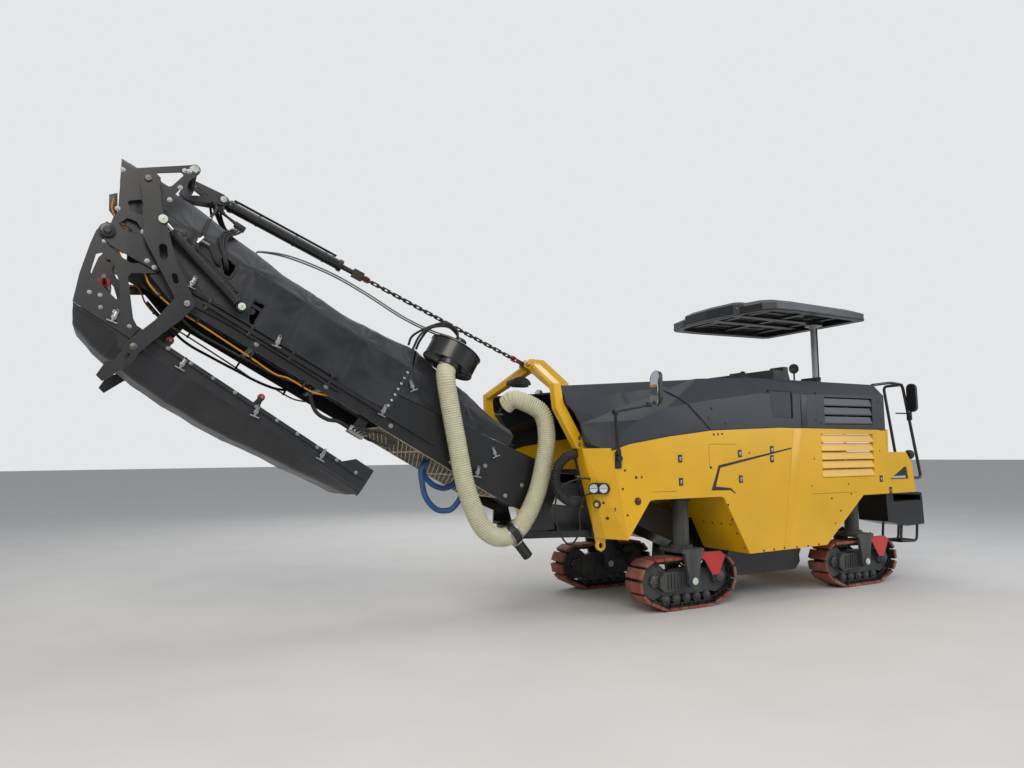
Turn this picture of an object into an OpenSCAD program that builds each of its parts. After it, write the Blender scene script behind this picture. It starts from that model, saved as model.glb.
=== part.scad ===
// Cold planer milling machine on four steered crawlers, with a folding discharge conveyor.
// X points forward to the conveyor, Y to the machine's left and Z up, in millimetres.
// Heights are above the ground. X is measured from mid-wheelbase and shifted in machine().

/* [Crawlers] */
// Distance between the front and rear leg axes
wheelbase = 2755; // [2700:5:2800]
// Distance between the left and right crawler centre planes
gauge = 1512; // [1500:2:1530]
// Length of a crawler over its shoes
track_l = 1330; // [1280:10:1340]
// Height of a crawler over its shoes
track_h = 550; // [530:5:560]
// Width of a shoe
shoe_w = 260; // [230:5:265]
// Height of a shoe above its chain
shoe_h = 45; // [35:1:50]
// Number of shoes on a crawler
shoe_n = 24; // [20:1:28]
// Radius of the chain's path over the idler and the sprocket
wheel_r = 195; // [180:5:200]
// Number of sprocket teeth
sprocket_teeth = 15; // [11:2:19]
// Diameter of the leg column
leg_d = 170; // [140:5:180]
// Running clearance of a leg in its sleeve
leg_clear = 0.3; // [0.2:0.1:0.5]
// Wall of the leg sleeve
sleeve_wall = 30; // [20:5:40]
// Thickness of a fork cheek
cheek_t = 40; // [30:2:44]
// Diameter of the pin that carries a crawler in its fork
fork_pin_d = 70; // [50:5:80]

/* [Body] */
// Width over the side panels
body_w = 2200; // [2180:5:2240]
// Thickness of a side panel
panel_t = 40; // [30:5:50]
// Height of the engine hood's top
hood_top_z = 2490; // [2440:10:2520]
// Wall of the hoods
hood_t = 20; // [15:1:30]
// Number of slats in the yellow cooling grille
grille_slats = 5; // [4:1:6]
// Number of slats in the dark hood grille
hood_slats = 3; // [2:1:5]
// Height of the operators' floor
floor_z = 1700; // [1650:10:1750]
// Height of the canopy's top
canopy_z = 3500; // [3420:10:3540]
// Diameter of the canopy post
post_d = 90; // [70:5:110]
// Bore of the lashing eyes
eye_bore = 60; // [50:1:70]

/* [Milling drum] */
// Diameter over the pick tips
drum_d = 830; // [780:10:850]
// Diameter of the drum tube
drum_tube_d = 640; // [600:10:660]
// Milling width
mill_w = 1200; // [1100:10:1220]
// Height of the drum axis with the machine raised to travel
drum_z = 640; // [620:5:680]
// Picks on one helix
picks = 22; // [16:1:28]

/* [Discharge conveyor] */
// Slope of the conveyor
conveyor_slope = 29.8; // [27:0.1:32]
// Height of the luffing pins
luff_z = 1110; // [1090:5:1130]
// Distance of the luffing pins in front of the slewing axis
luff_off = 80; // [60:5:100]
// Width over the conveyor's side plates
conv_w = 900; // [860:10:920]
// Thickness of the conveyor's side plates
side_t = 12; // [8:1:16]
// Belt width
belt_w = 600; // [560:10:640]
// Belt thickness
belt_t = 12; // [10:1:15]
// Thickness of the fabric covers
cover_t = 8; // [5:1:12]
// Diameter of the suction hose
hose_d = 190; // [180:5:195]
// Diameter of the fan housing
fan_d = 520; // [460:10:540]

/* [Fold linkage] */
// Distance between the centre planes of the two fold levers
link_gauge = 1162; // [1160:2:1180]
// Thickness of the linkage plates
plate_t = 16; // [12:1:18]
// Diameter of the linkage pins
pin_d = 40; // [30:2:44]
// Outer diameter of a fold cylinder
fold_cyl_d = 72; // [66:1:74]
// Outer diameter of the luffing cylinder
luff_cyl_d = 100; // [80:5:110]
// Diameter of the luffing cylinder's rod
luff_rod_d = 50; // [40:5:60]

/* [Hidden] */
$fn = 32;

// X of the middle of the machine's whole length, from mid-wheelbase
mid_x = 2295;
// Clearance between faces on different bodies, and at joined pieces that could rub
gap = 0.3;

// Slewing axis and luffing pins, then the conveyor's own frame: x along it, z square to it
slew_x = 2870;
luff_x = slew_x + luff_off;

leg_y = gauge / 2;
leg_x = wheelbase / 2;
body_y = body_w / 2;
inner_y = body_y - panel_t;

// Moves everything from mid-wheelbase to the middle of the whole length
module machine() translate([-mid_x, 0, 0]) children();

// Extrudes an outline of x and z points from y0 to y1
module xz(y0, y1) translate([0, y1, 0]) rotate([90, 0, 0]) linear_extrude(y1 - y0) children();

// The same outline on both sides of the machine
module xz_pair(y0, y1) {
    xz(y0, y1) children();
    xz(-y1, -y0) children();
}

// Extrudes an outline of y and z points from x0 to x1
module yz(x0, x1) translate([x0, 0, 0]) rotate([90, 0, 90]) linear_extrude(x1 - x0) children();

// A box from its lowest corner to its highest
module block(a, b) translate(a) cube(b - a);

// A round bar along y at a point of x and z
module pin_y(p, d, y0, y1) translate([p[0], y1, p[1]]) rotate([90, 0, 0]) cylinder(d = d, h = y1 - y0);

// A round bar between two points
module bar(a, b, d) {
    v = b - a;
    translate(a) rotate([0, atan2(norm([v[0], v[1]]), v[2]), atan2(v[1], v[0])])
        cylinder(d = d, h = norm(v));
}

// Unit vector, and the points of a path with each inner corner rounded over r
function unit(v) = v / norm(v);
function rounded(points, r, n = 4) = concat([points[0]],
    [for (i = [1 : len(points) - 2]) let (c = points[i], a = c + unit(points[i - 1] - c) * r,
        b = c + unit(points[i + 1] - c) * r)
        for (k = [0 : n]) let (t = k / n) (1 - t) * (1 - t) * a + 2 * t * (1 - t) * c + t * t * b],
    [points[len(points) - 1]]);

// Side directions carried along a path without twist
function carried(dirs, side, i = 0) = i == len(dirs) ? [] :
    let (m = unit(side - dirs[i] * (dirs[i] * side))) concat([m], carried(dirs, m, i + 1));

// A tube swept along a path of points
module swept(path, d, sides = 10) {
    last = len(path) - 1;
    dirs = [for (i = [0 : last]) unit(path[min(i + 1, last)] - path[max(i - 1, 0)])];
    first_side = abs(dirs[0][1]) < 0.7 ? [0, 1, 0] : [1, 0, 0];
    side = carried(dirs, first_side);
    points = [for (i = [0 : last]) for (j = [0 : sides - 1]) let (a = j * 360 / sides)
        path[i] + d / 2 * (cos(a) * side[i] + sin(a) * cross(dirs[i], side[i]))];
    walls = [for (i = [0 : last - 1]) for (j = [0 : sides - 1]) let (k = (j + 1) % sides)
        [i * sides + j, (i + 1) * sides + j, (i + 1) * sides + k, i * sides + k]];
    ends = [[for (j = [0 : sides - 1]) j], [for (j = [sides - 1 : -1 : 0]) last * sides + j]];
    polyhedron(points, concat(walls, ends));
}
module tube_path(points, d, r = 60, sides = 10) swept(rounded(points, r), d, sides);

function arc(c, r, a0, a1, n) = [for (i = [0 : n]) let (a = a0 + (a1 - a0) * i / n)
    [c[0] + r * cos(a), c[1] + r * sin(a)]];

// A flat bar outline with round ends between two points
module strap(a, b, w) {
    turn = atan2(b[1] - a[1], b[0] - a[0]);
    polygon(concat(arc(b, w / 2, turn - 90, turn + 90, 14), arc(a, w / 2, turn + 90, turn + 270, 14)));
}

// Crawler track: a closed path round wheels, each a row of x, z and path radius
path_wheels = [
    [track_l / 2 - wheel_r - shoe_h, track_h - wheel_r - shoe_h, wheel_r],
    [-track_l / 2 + wheel_r + shoe_h, track_h - wheel_r - shoe_h, wheel_r],
    [-300, shoe_h + 60, 60],
    [300, shoe_h + 60, 60]];
wheel_n = len(path_wheels);
function wheel(i) = path_wheels[(i + wheel_n) % wheel_n];
// Direction of the outward normal on the straight run from wheel i to the next
function run_normal(i) = let (a = wheel(i), b = wheel(i + 1), v = [b[0] - a[0], b[1] - a[1]])
    atan2(v[1], v[0]) - acos((a[2] - b[2]) / norm(v));
function run_length(i) = let (a = wheel(i), b = wheel(i + 1))
    sqrt(pow(b[0] - a[0], 2) + pow(b[1] - a[1], 2) - pow(a[2] - b[2], 2));
function wrap_turn(i) = let (d = run_normal(i) - run_normal(i - 1)) d < 0 ? d + 360 : d;
function wrap_length(i) = wheel(i)[2] * wrap_turn(i) * PI / 180;
function path_length(i = 0) = i == wheel_n ? 0 : wrap_length(i) + run_length(i) + path_length(i + 1);
// Point at distance s along the path, moved out by h
function path_point(s, h, i = 0) =
    let (w = wheel(i), start = run_normal(i - 1))
    s < wrap_length(i) ?
        let (a = start + s / w[2] * 180 / PI) [w[0] + (w[2] + h) * cos(a), w[1] + (w[2] + h) * sin(a)]
    : s < wrap_length(i) + run_length(i) || i == wheel_n - 1 ?
        let (a = run_normal(i), t = s - wrap_length(i))
        [w[0] + (w[2] + h) * cos(a) - t * sin(a), w[1] + (w[2] + h) * sin(a) + t * cos(a)]
    : path_point(s - wrap_length(i) - run_length(i), h, i + 1);
loop_length = path_length();
shoe_pitch = loop_length / shoe_n;
chain_in = 15;
// Each shoe: share of the pitch and height above the path
shoe_profile = [[0.04, 12], [0.08, shoe_h], [0.92, shoe_h], [0.96, 12]];

module track(x, y) {
    color([0.42, 0.23, 0.2]) machine() translate([x, y, 0]) xz(-shoe_w / 2, shoe_w / 2) difference() {
        polygon([for (k = [0 : shoe_n - 1]) for (p = shoe_profile)
            path_point((k + p[0]) * shoe_pitch, p[1])]);
        polygon([for (k = [0 : 4 * shoe_n - 1]) path_point((k + 0.5) * shoe_pitch / 4, -chain_in)]);
    }
}

// Crawler frame with its idler, sprocket, rollers, drive housing and shoe guard
axle_z = track_h - wheel_r - shoe_h;
axle_x = track_l / 2 - wheel_r - shoe_h;
roller_d = 100;
roller_z = shoe_h + chain_in + roller_d / 2 + gap;
guide_r = wheel_r - chain_in - 1;
pivot_z = 300;
module track_frame(x, y, side) {
    beam_w = 100;
    color([0.2, 0.21, 0.23]) machine() translate([x, y, 0]) difference() {
        union() {
            xz(-beam_w / 2, beam_w / 2) polygon([[-axle_x, axle_z - 70], [-300, 150], [300, 150],
                [axle_x, axle_z - 70], [axle_x, axle_z + 70], [150, 420], [-150, 420],
                [-axle_x, axle_z + 70]]);
            pin_y([axle_x, axle_z], 2 * guide_r, -beam_w / 2 + 8, beam_w / 2 - 8);
            xz(-beam_w / 2 + 12, beam_w / 2 - 12) translate([-axle_x, axle_z])
                circle(r = guide_r, $fn = sprocket_teeth - 3);
            pin_y([axle_x, axle_z], 130, -beam_w / 2 - 12, beam_w / 2 + 12);
            pin_y([-axle_x, axle_z], 170, -beam_w / 2 - 30, beam_w / 2 + 30);
            for (k = [-2 : 2]) pin_y([k * 140, roller_z],
                roller_d, -beam_w / 2 - 15, beam_w / 2 + 15);
            xz(min(side * beam_w / 2, side * 110), max(side * beam_w / 2, side * 110))
                polygon([[-40, 220], [330, 200], [390, 250], [390, 350], [330, 400], [-40, 400]]);
            // Shoe guard over the sprocket, on an arm through the loop
            mirror([0, side > 0 ? 0 : 1, 0]) {
                xz(shoe_w / 2 + 4, shoe_w / 2 + 12) polygon([[-120, track_h + 35], [-420, track_h + 35],
                    [-500, 530], [-430, 400], [-400, 330], [-300, 330], [-190, 500], [-120, 530]]);
                block([-390, beam_w / 2 - 1, 350], [-310, shoe_w / 2 + 5, 400]);
            }
        }
        pin_y([0, pivot_z], fork_pin_d + 2 * gap, -200, 200);
    }
}

// Leg: column, fork plate, cheeks and pin; its body steers about the column
leg_plate_z = track_h + 45;
leg_top_z = 1560;
module leg(x, y) {
    plate_t_leg = 35;
    cheek_y = shoe_w / 2 + 20;
    color([0.2, 0.21, 0.23]) machine() translate([x, y, 0]) {
        translate([0, 0, leg_plate_z]) cylinder(d = leg_d, h = leg_top_z - leg_plate_z);
        translate([0, 0, leg_plate_z + plate_t_leg]) cylinder(d = leg_d + 70, h = 25);
        translate([0, 0, leg_plate_z]) linear_extrude(plate_t_leg) polygon([[-150, -cheek_y - cheek_t],
            [150, -cheek_y - cheek_t], [170, 0], [150, cheek_y + cheek_t], [-150, cheek_y + cheek_t],
            [-170, 0]]);
        xz_pair(cheek_y, cheek_y + cheek_t) {
            polygon([[-120, leg_plate_z + 1], [-60, pivot_z], [60, pivot_z], [120, leg_plate_z + 1]]);
            translate([0, pivot_z]) circle(d = 140);
        }
        pin_y([0, pivot_z], fork_pin_d, -cheek_y - cheek_t - 12, cheek_y + cheek_t + 12);
    }
}

// Lower body line, each row x and z, from the hood's front corner round to the tail
panel_front_top = [2517, 1681];
panel_top = [[2517, 1681], [2300, 1745], [1800, 1822], [1214, 1888], [185, 1926], [-1698, 1911]];
arch_front = [2056, 1179];
side_outline = concat(panel_top, [[-1690, 1621], [-2030, 1630], [-2133, 1492], [-2182, 1125],
    [-1178, 1118], [-497, 571], [721, 554]],
    [[1038, 1120]], arc([1108, 1109], 70, 170, 90, 4), [[2000, 1179], [2056, 1170], [2343, 794]]);

module side_panel(s) {
    color([0.96, 0.7, 0.02]) machine() mirror([0, s > 0 ? 0 : 1, 0]) difference() {
        xz(inner_y, body_y) polygon(side_outline);
        // Cooling opening behind the slats
        xz(inner_y - 1, body_y + 1) polygon(grille_opening);
        // Sunk triangular panel at the tail
        xz(body_y - 12, body_y + 1) polygon([[-1680, 1290], [-2060, 1290], [-2030, 1440], [-1990, 1450]]);
        // Door seam
        xz(body_y - 4, body_y + 1) polygon([[-185, 1960], [-177, 1960], [215, 540], [207, 540]]);
    }
}
module side_panel_left() side_panel(1);
module side_panel_right() side_panel(-1);

grille_x = [-1407, -484];
grille_z = [1341, 1851];
grille_opening = [[grille_x[0], grille_z[0]], [grille_x[1], grille_z[0]], [grille_x[1], grille_z[1]],
    [grille_x[0], grille_z[1]]];
module side_grilles() {
    pitch = (grille_z[1] - grille_z[0]) / grille_slats;
    color([0.96, 0.7, 0.02]) machine() for (s = [0, 1]) mirror([0, s, 0]) {
        for (k = [0 : grille_slats - 1]) translate([0, 0, grille_z[0] + k * pitch])
            yz(grille_x[0] + gap, grille_x[1] - gap) polygon([[body_y - 34, 4], [body_y + 6, 4],
                [body_y + 6, 14], [body_y - 24, pitch - 6], [body_y - 34, pitch - 6]]);
        for (x = [grille_x[0] + gap, (grille_x[0] + grille_x[1]) / 2, grille_x[1] - gap - 20])
            block([x, body_y - 38, grille_z[0] + gap], [x + 20, body_y - 30, grille_z[1] - gap]);
    }
}

// Sloping walls in front of and behind the milling bay
bay_wall_t = 20;
bay_notch = 380;
module bay_walls() {
    color([0.96, 0.7, 0.02]) machine() {
        difference() {
            xz(-inner_y + gap, inner_y - gap) polygon([[721, 554], [721 - bay_wall_t, 554],
                [1038 - bay_wall_t, 1179], [1038, 1179]]);
            block([600, -bay_notch, 500], [1100, bay_notch, 900]);
        }
        xz(-inner_y + gap, inner_y - gap) polygon([[-538, 604], [-524, 621], [-1150, 1128],
            [-1178, 1118]]);
    }
}

// Chassis: two beams, cross boxes with the leg sleeves, front shelf and body floor
beam_y = [500, 560];
beam_z = [1180, 1420];
box_half = 200;
beam_rear = -2105;
shelf_z = [780, 850];
front_plate_x = 2400;
module chassis_frame() {
    color([0.16, 0.165, 0.18]) machine() difference() {
        union() {
            for (s = [0, 1]) mirror([0, s, 0])
                block([beam_rear, beam_y[0], beam_z[0]], [2400, beam_y[1], beam_z[1]]);
            for (x = [-leg_x, leg_x]) block([x - box_half, -inner_y + gap, 1230],
                [x + box_half, inner_y - gap, 1420]);
            for (x = [-leg_x, leg_x], y = [-leg_y, leg_y]) translate([x, y, 1130])
                cylinder(d = leg_d + 2 * sleeve_wall, h = 500);
            block([-700, -beam_y[1], 1300], [-640, beam_y[1], 1420]);
            block([300, -beam_y[1], 1300], [360, beam_y[1], 1420]);
            block([beam_rear, -beam_y[1], 1180], [beam_rear + 30, beam_y[1], 1420]);
            // Front plate
            block([front_plate_x - 30, -beam_y[1], shelf_z[0]], [front_plate_x, beam_y[1], 1420]);
            for (s = [0, 1]) mirror([0, s, 0])
                block([front_plate_x - 100, beam_y[0] + 20, shelf_z[0]],
                    [front_plate_x, beam_y[1] - 20, 1420]);
        }
        for (x = [-leg_x, leg_x], y = [-leg_y, leg_y]) translate([x, y, 1100])
            cylinder(d = leg_d + 2 * leg_clear, h = 600);
        // Opening in the front plate for the collecting conveyor
        block([2300, -400, 1080], [2420, 400, 1500]);
    }
}

// Shelf on the front plate, with the spigot that the turret turns on
module slewing_shelf() {
    color([0.16, 0.165, 0.18]) machine() {
        translate([0, 0, shelf_z[0]]) linear_extrude(shelf_z[1] - shelf_z[0]) {
            polygon([[front_plate_x, -513], [front_plate_x, 513], [slew_x, 330], [slew_x, -330]]);
            translate([slew_x, 0]) circle(r = 330);
        }
        translate([slew_x, 0, shelf_z[1] - 1]) cylinder(d = 300, h = 101);
    }
}

engine_x = [650, 1850];
module engine_block() {
    color([0.3, 0.31, 0.33]) machine() {
        difference() {
            block([engine_x[0], -420, 1500], [engine_x[1], 420, 2180]);
            block([engine_x[0] - 1, 250, 1900], [engine_x[1] + 1, 421, 2181]);
        }
        for (s = [0, 1], x = [800, 1700]) mirror([0, s, 0])
            block([x - 50, 380, beam_z[1] + gap], [x + 50, beam_y[1], 1520]);
    }
}

// Yellow front corners: bottom plan and top plan rows of x and y
corner_low = [[2344.3, 1100], [2464, 900], [2480, 730], [2430, 730], [2344.3, 1059]];
corner_high = [[2521, 1100], [2729, 900], [2712, 730], [2560, 730], [2521, 1059]];
module front_corner_panels() {
    color([0.96, 0.7, 0.02]) machine() for (s = [0, 1]) mirror([0, s, 0]) difference() {
        hull() {
            translate([gap, 0, 800]) linear_extrude(1) polygon(corner_low);
            translate([gap, 0, 1700]) linear_extrude(1) polygon(corner_high);
        }
        lamp_body(gap);
    }
}

module tail_panel() {
    color([0.96, 0.7, 0.02]) machine() xz(-inner_y + gap, inner_y - gap) polygon([[-2182, 1130],
        [-2133, 1492], [-2030, 1630], [-1720, 1630], [-1720, 1610], [-2010, 1610], [-2110, 1485],
        [-2155, 1180], [-2151, 1179.7],
        [-1750, 1179.7], [-1750, 1130]]);
}

// Radius swept by the hose when the conveyor slews
swing_r = 705;
// Corners of the hood's lower body and of the raised engine cover on it, each row x, half width, drop
// from the top
hood_low_z = 1500;
hood_low_points = [[-1652, 1098, 160], [-1652, 960, 10], [463, 1098, 190], [463, 960, 0], [1240, 1092, 290],
    [1240, 930, 38], [1800, 1090, 380], [1800, 800, 200], [2150, 1090, 505], [2150, 800, 390],
    [2440, 1090, 670], [2440, 800, 520], [2790, 890, 540], [2790, 700, 520]];
hood_foot_points = [[-1652, 1098], [2521, 1098], [2745, 890]];
hood_high_points = [[1240, 900, 90], [1240, 860, 42], [1800, 880, 190], [1800, 790, 88], [2300, 870, 272],
    [2300, 760, 122], [2945, 860, 318], [2945, 745, 160], [1800, 950, 590], [2300, 950, 590],
        [2945, 900, 590]];
module corner(p, inset) for (s = [-1, 1])
    translate([p[0] + (p[0] < 0 ? inset : p[0] > 2500 ? -inset : 0), s * (p[1] - inset), p[2]])
        cube(1, center = true);
module hood_solid(inset) {
    hull() {
        for (p = hood_low_points) corner([p[0], p[1], hood_top_z - p[2] - inset], inset);
        for (p = hood_foot_points) corner([p[0], p[1], hood_low_z], inset);
    }
    hull() for (p = hood_high_points) corner([p[0], p[1], hood_top_z - p[2] - inset], inset);
}
// Everything above the yellow panels' top line
module above_panels(raise) xz(-1300, 1300) polygon(concat([[2590, 1701 + raise], [2517, 1701 + raise]],
    [for (p = panel_top) [p[0], p[1] + raise]],
        [[-1800, 1911 + raise], [-1800, 2700], [2880, 2700], [2880, 2150], [2800, 2060], [2745, 1950],
    [2720, 1765], [2590, 1701 + raise]]));
module hood_shell() {
    intersection() {
        difference() {
            hood_solid(0);
            hood_solid(hood_t);
        }
        above_panels(gap);
    }
}
// Split between the hoods, from the top edge to the side panels
split = [[1795, 2401], [1217, 1887]];
split_dir = (split[0] - split[1]) / norm(split[0] - split[1]);
split_far_up = split[0] + split_dir * 400;
split_far_low = split[1] - split_dir * 500;
module hood_front() {
    color([0.2, 0.21, 0.24]) machine() difference() {
        hood_shell();
        xz(-1300, 1300) polygon([split_far_up + [3, 0], split_far_low + [3, 0], [-2000, 1000],
            [-2000, 2900]]);
        // Recess round the conveyor's swinging end
        block([2400, -600, 1400], [3100, 600, 2600]);
        translate([slew_x, 0, 1400]) cylinder(r = swing_r, h = 1300);
    }
}
well_x = -330;
well_y = 560;
window_outline = [[333, 2343], [-38, 2335], [-38, 2026], [290, 2040]];
hood_grille_x = [-1421, -566];
hood_grille_z = [1965, 2288];
module hood_rear() {
    color([0.2, 0.21, 0.24]) machine() difference() {
        union() {
            intersection() {
                difference() {
                    hood_solid(0);
                    difference() {
                        hood_solid(hood_t);
                        // Walls of the operators' well
                        block([-1700, -well_y - hood_t, 1500], [well_x + hood_t, well_y + hood_t, 2700]);
                    }
                }
                above_panels(gap);
            }
        }
        xz(-1300, 1300) polygon([split_far_up - [3, 0], split_far_low - [3, 0], [3500, 1000], [3500, 2900]]);
        block([-1800, -well_y, 1400], [well_x, well_y, 2700]);
        for (s = [0, 1]) mirror([0, s, 0]) {
            xz(1040, 1200) polygon(window_outline);
            block([hood_grille_x[0], 1040, hood_grille_z[0]], [hood_grille_x[1], 1200, hood_grille_z[1]]);
        }
    }
}
module hood_grilles() {
    pitch = (hood_grille_z[1] - hood_grille_z[0]) / hood_slats;
    color([0.1, 0.1, 0.11]) machine() for (s = [0, 1]) mirror([0, s, 0]) {
        for (k = [0 : hood_slats - 1]) translate([0, 0, hood_grille_z[0] + k * pitch])
            yz(hood_grille_x[0] + gap, hood_grille_x[1] - gap) polygon([[1070, 6], [1096, 6], [1096, 20],
                [1080, pitch - 12], [1070, pitch - 12]]);
        for (x = [hood_grille_x[0] + gap, (hood_grille_x[0] + hood_grille_x[1]) / 2,
            hood_grille_x[1] - gap - 20])
            block([x, 1062, hood_grille_z[0] + gap], [x + 20, 1074, hood_grille_z[1] - gap]);
    }
}
module side_windows() {
    color([0.1, 0.12, 0.14, 0.8]) machine() xz_pair(1080, 1086) polygon([for (p = window_outline)
        let (c = [140, 2185]) c + (p - c) * 0.9985]);
}

// Mast: yellow legs from the front corners to the tip on the slewing axis, and a back stay
mast_tip = [2810, 0, 2650];
mast_foot = [2690, 800, 1701.8];
mast_knee = [2930, 780, 2130];
mast_bend = [2950, 765, 2325];
module mast() {
    color([0.96, 0.7, 0.02]) machine() {
        for (s = [-1, 1]) {
            hull() {
                translate([mast_foot[0], s * mast_foot[1], mast_foot[2]]) cube([120, 90, 1], center = true);
                translate([mast_knee[0], s * mast_knee[1], mast_knee[2]]) cube([90, 80, 60], center = true);
            }
            hull() {
                translate([mast_knee[0], s * mast_knee[1], mast_knee[2]]) cube([90, 80, 60], center = true);
                translate([mast_bend[0], s * mast_bend[1], mast_bend[2]]) cube([80, 80, 50], center = true);
            }
            hull() {
                translate([mast_bend[0], s * mast_bend[1], mast_bend[2]]) cube([80, 80, 50], center = true);
                translate([mast_tip[0] - 25, s * 60, mast_tip[2] - 50]) cube([80, 60, 90], center = true);
            }
        }
        difference() {
            xz(-60, 60) polygon([[2340, 2440], [2660, 2683], [2800, 2690], [2826, 2620], [2760, 2540],
                [2640, 2560], [2480, 2420], [2340, 2400]]);
            pin_y([2790, 2635], 42, -70, 70);
        }
        for (s = [-1, 1]) xz(s * 55 - 10, s * 55 + 10) difference() {
            polygon([[2780, 2690], [2840, 2690], [2900, 2650], [2905, 2600], [2840, 2570], [2780, 2590]]);
            translate([2870, 2628]) circle(d = 34);
        }
    }
}

module operator_floor() {
    color([0.12, 0.12, 0.13]) machine() {
        block([-1720, -well_y + gap, floor_z - 40], [well_x - gap, well_y - gap, floor_z]);
        for (s = [-1, 1]) block([-1650, s * 500 - 30, 1420], [-400, s * 500 + 30, floor_z - 40]);
    }
}

// Operator places, each row x and y
seat_places = [[-1050, -300], [-1050, 300]];
module operator_seats() {
    color([0.1, 0.1, 0.11]) machine() for (p = seat_places) translate([p[0], p[1], floor_z]) {
        cylinder(d = 120, h = 430);
        hull() {
            translate([-200, -200, 420]) cube([400, 400, 40]);
            translate([-180, -180, 490]) cube([370, 360, 20]);
        }
        hull() {
            translate([-230, -180, 490]) cube([90, 360, 20]);
            translate([-300, -160, 940]) cube([70, 320, 20]);
        }
    }
}

module control_consoles() {
    color([0.75, 0.76, 0.74]) machine() {
        difference() {
            xz(-well_y + gap, well_y - gap) polygon([[well_x - gap, floor_z], [-560, floor_z], [-560, 2350],
                [-640, 2480], [-600, 2620], [-450, 2660], [well_x - gap, 2660]]);
            xz(-well_y + 20, well_y - 20) polygon([[well_x - 20, floor_z + 20], [-540, floor_z + 20],
                [-540, 2340], [well_x - 20, 2340]]);
        }
    }
}

post_x = -1530;
post_y = 200;
module canopy_post() {
    color([0.72, 0.73, 0.73]) machine() {
        translate([post_x, post_y, floor_z]) cylinder(d = post_d, h = post_top - floor_z);
        translate([post_x, post_y, floor_z]) cylinder(d = post_d + 110, h = 20);
    }
}

// Canopy outline in plan, and the outline of its raised front
canopy_plan = [[-1750, -800], [-1700, -850], [-400, -935], [-60, -910], [60, -800], [110, -540],
    [110, 540], [60, 800], [-60, 910], [-400, 935], [-1700, 850], [-1750, 800]];
canopy_nose = [[-700, -400], [90, -500], [170, -440], [200, 0], [170, 440], [90, 500], [-700, 400]];
canopy_middle = -780;
canopy_h = 165;
post_top = canopy_z - 130;
module canopy_roof() {
    color([0.1, 0.1, 0.11]) machine() difference() {
        union() {
            difference() {
                union() {
                    hull() {
                        translate([0, 0, canopy_z - canopy_h]) linear_extrude(85) polygon(canopy_plan);
                        translate([canopy_middle, 0, canopy_z - 30]) linear_extrude(20) scale([0.86, 0.82])
                            translate([-canopy_middle, 0]) polygon(canopy_plan);
                    }
                    hull() {
                        translate([0, 0, canopy_z - canopy_h]) linear_extrude(120) polygon(canopy_nose);
                        translate([canopy_middle, 0, canopy_z - 10]) linear_extrude(10) scale([0.92, 0.86])
                            translate([-canopy_middle, 0]) polygon(canopy_nose);
                    }
                }
                // Hollow underside
                translate([canopy_middle, 0, canopy_z - canopy_h - 1]) linear_extrude(71) scale([0.9, 0.88])
                    translate([-canopy_middle, 0]) polygon(canopy_plan);
            }
            translate([post_x, post_y, post_top]) cylinder(d = 260, h = 60);
            for (y = [post_y - 60, -post_y - 60]) block([-1600, y, post_top], [-20, y + 120, canopy_z - 80]);
            for (x = [-1500, -900, -300]) block([x, -760, post_top + 10], [x + 80, 760, canopy_z - 80]);
        }
        translate([post_x, post_y, post_top - 20]) cylinder(d = post_d + 2 * gap, h = 20);
    }
}

rail_d = 38;
module handrails() {
    color([0.08, 0.08, 0.09]) machine() for (s = [-1, 1]) {
        tube_path([[-1680, s * 930, 2482], [-2041, s * 930, 2525], [-2284, s * 930, 2507],
            [-2560, s * 930, 1290], [-2163.7, s * 930, 1290]], rail_d);
        tube_path([[-2284, s * 930, 2507], [-2310, s * 640, 2507], [-2540, s * 640, 1290],
            [-2163.7, s * 640, 1290]], rail_d);
    }
}

module rear_steps() {
    color([0.07, 0.07, 0.08]) machine() for (s = [0, 1]) mirror([0, s, 0]) {
        difference() {
            xz(560, 980) polygon([[-1760, 1130], [-2182, 1129.7], [-2300, 1129.7], [-2480, 1100],
                [-2500, 700], [-2150, 690], [-1780, 760]]);
            xz(575, 1000) polygon([[-1900, 1100], [-2440, 1080], [-2450, 1000], [-1900, 1000]]);
        }
        tube_path([[-2150, 900, 720], [-2120, 900, 490], [-2440, 900, 480], [-2470, 900, 720]], 32);
        tube_path([[-2150, 640, 720], [-2120, 640, 490], [-2440, 640, 480], [-2470, 640, 720]], 32);
        for (x = [-2420, -2280, -2140]) bar([x, 640, 486], [x, 900, 486], 28);
    }
}

module mirrors() {
    color([0.07, 0.07, 0.08]) machine() for (s = [0, 1]) mirror([0, s, 0]) {
        // Front mirror on its post
        tube_path([[2440, 1125, 1600], [2500, 1150, 2060], [2060, 1180, 2140], [1990, 1190, 2220]], 32);
        translate([2440, body_y + gap, 1600]) rotate([-90, 0, 0]) cylinder(d = 60, h = 40);
        translate([1990, 1190, 2290]) hull() {
            translate([0, 0, 110]) rotate([0, 80, 0]) cylinder(d = 150, h = 40);
            translate([0, 0, -90]) rotate([0, 80, 0]) cylinder(d = 150, h = 40);
        }
        // Rear mirror on the handrail
        translate([-2350, 1025, 2330]) hull() {
            translate([0, 0, 120]) rotate([0, 90, 0]) cylinder(d = 130, h = 40);
            translate([0, 0, -120]) rotate([0, 90, 0]) cylinder(d = 130, h = 40);
        }
        translate([-2324, 930 + rail_d / 2 + gap, 2330]) rotate([-90, 0, 0]) cylinder(d = 24, h = 30);
    }
}

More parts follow.
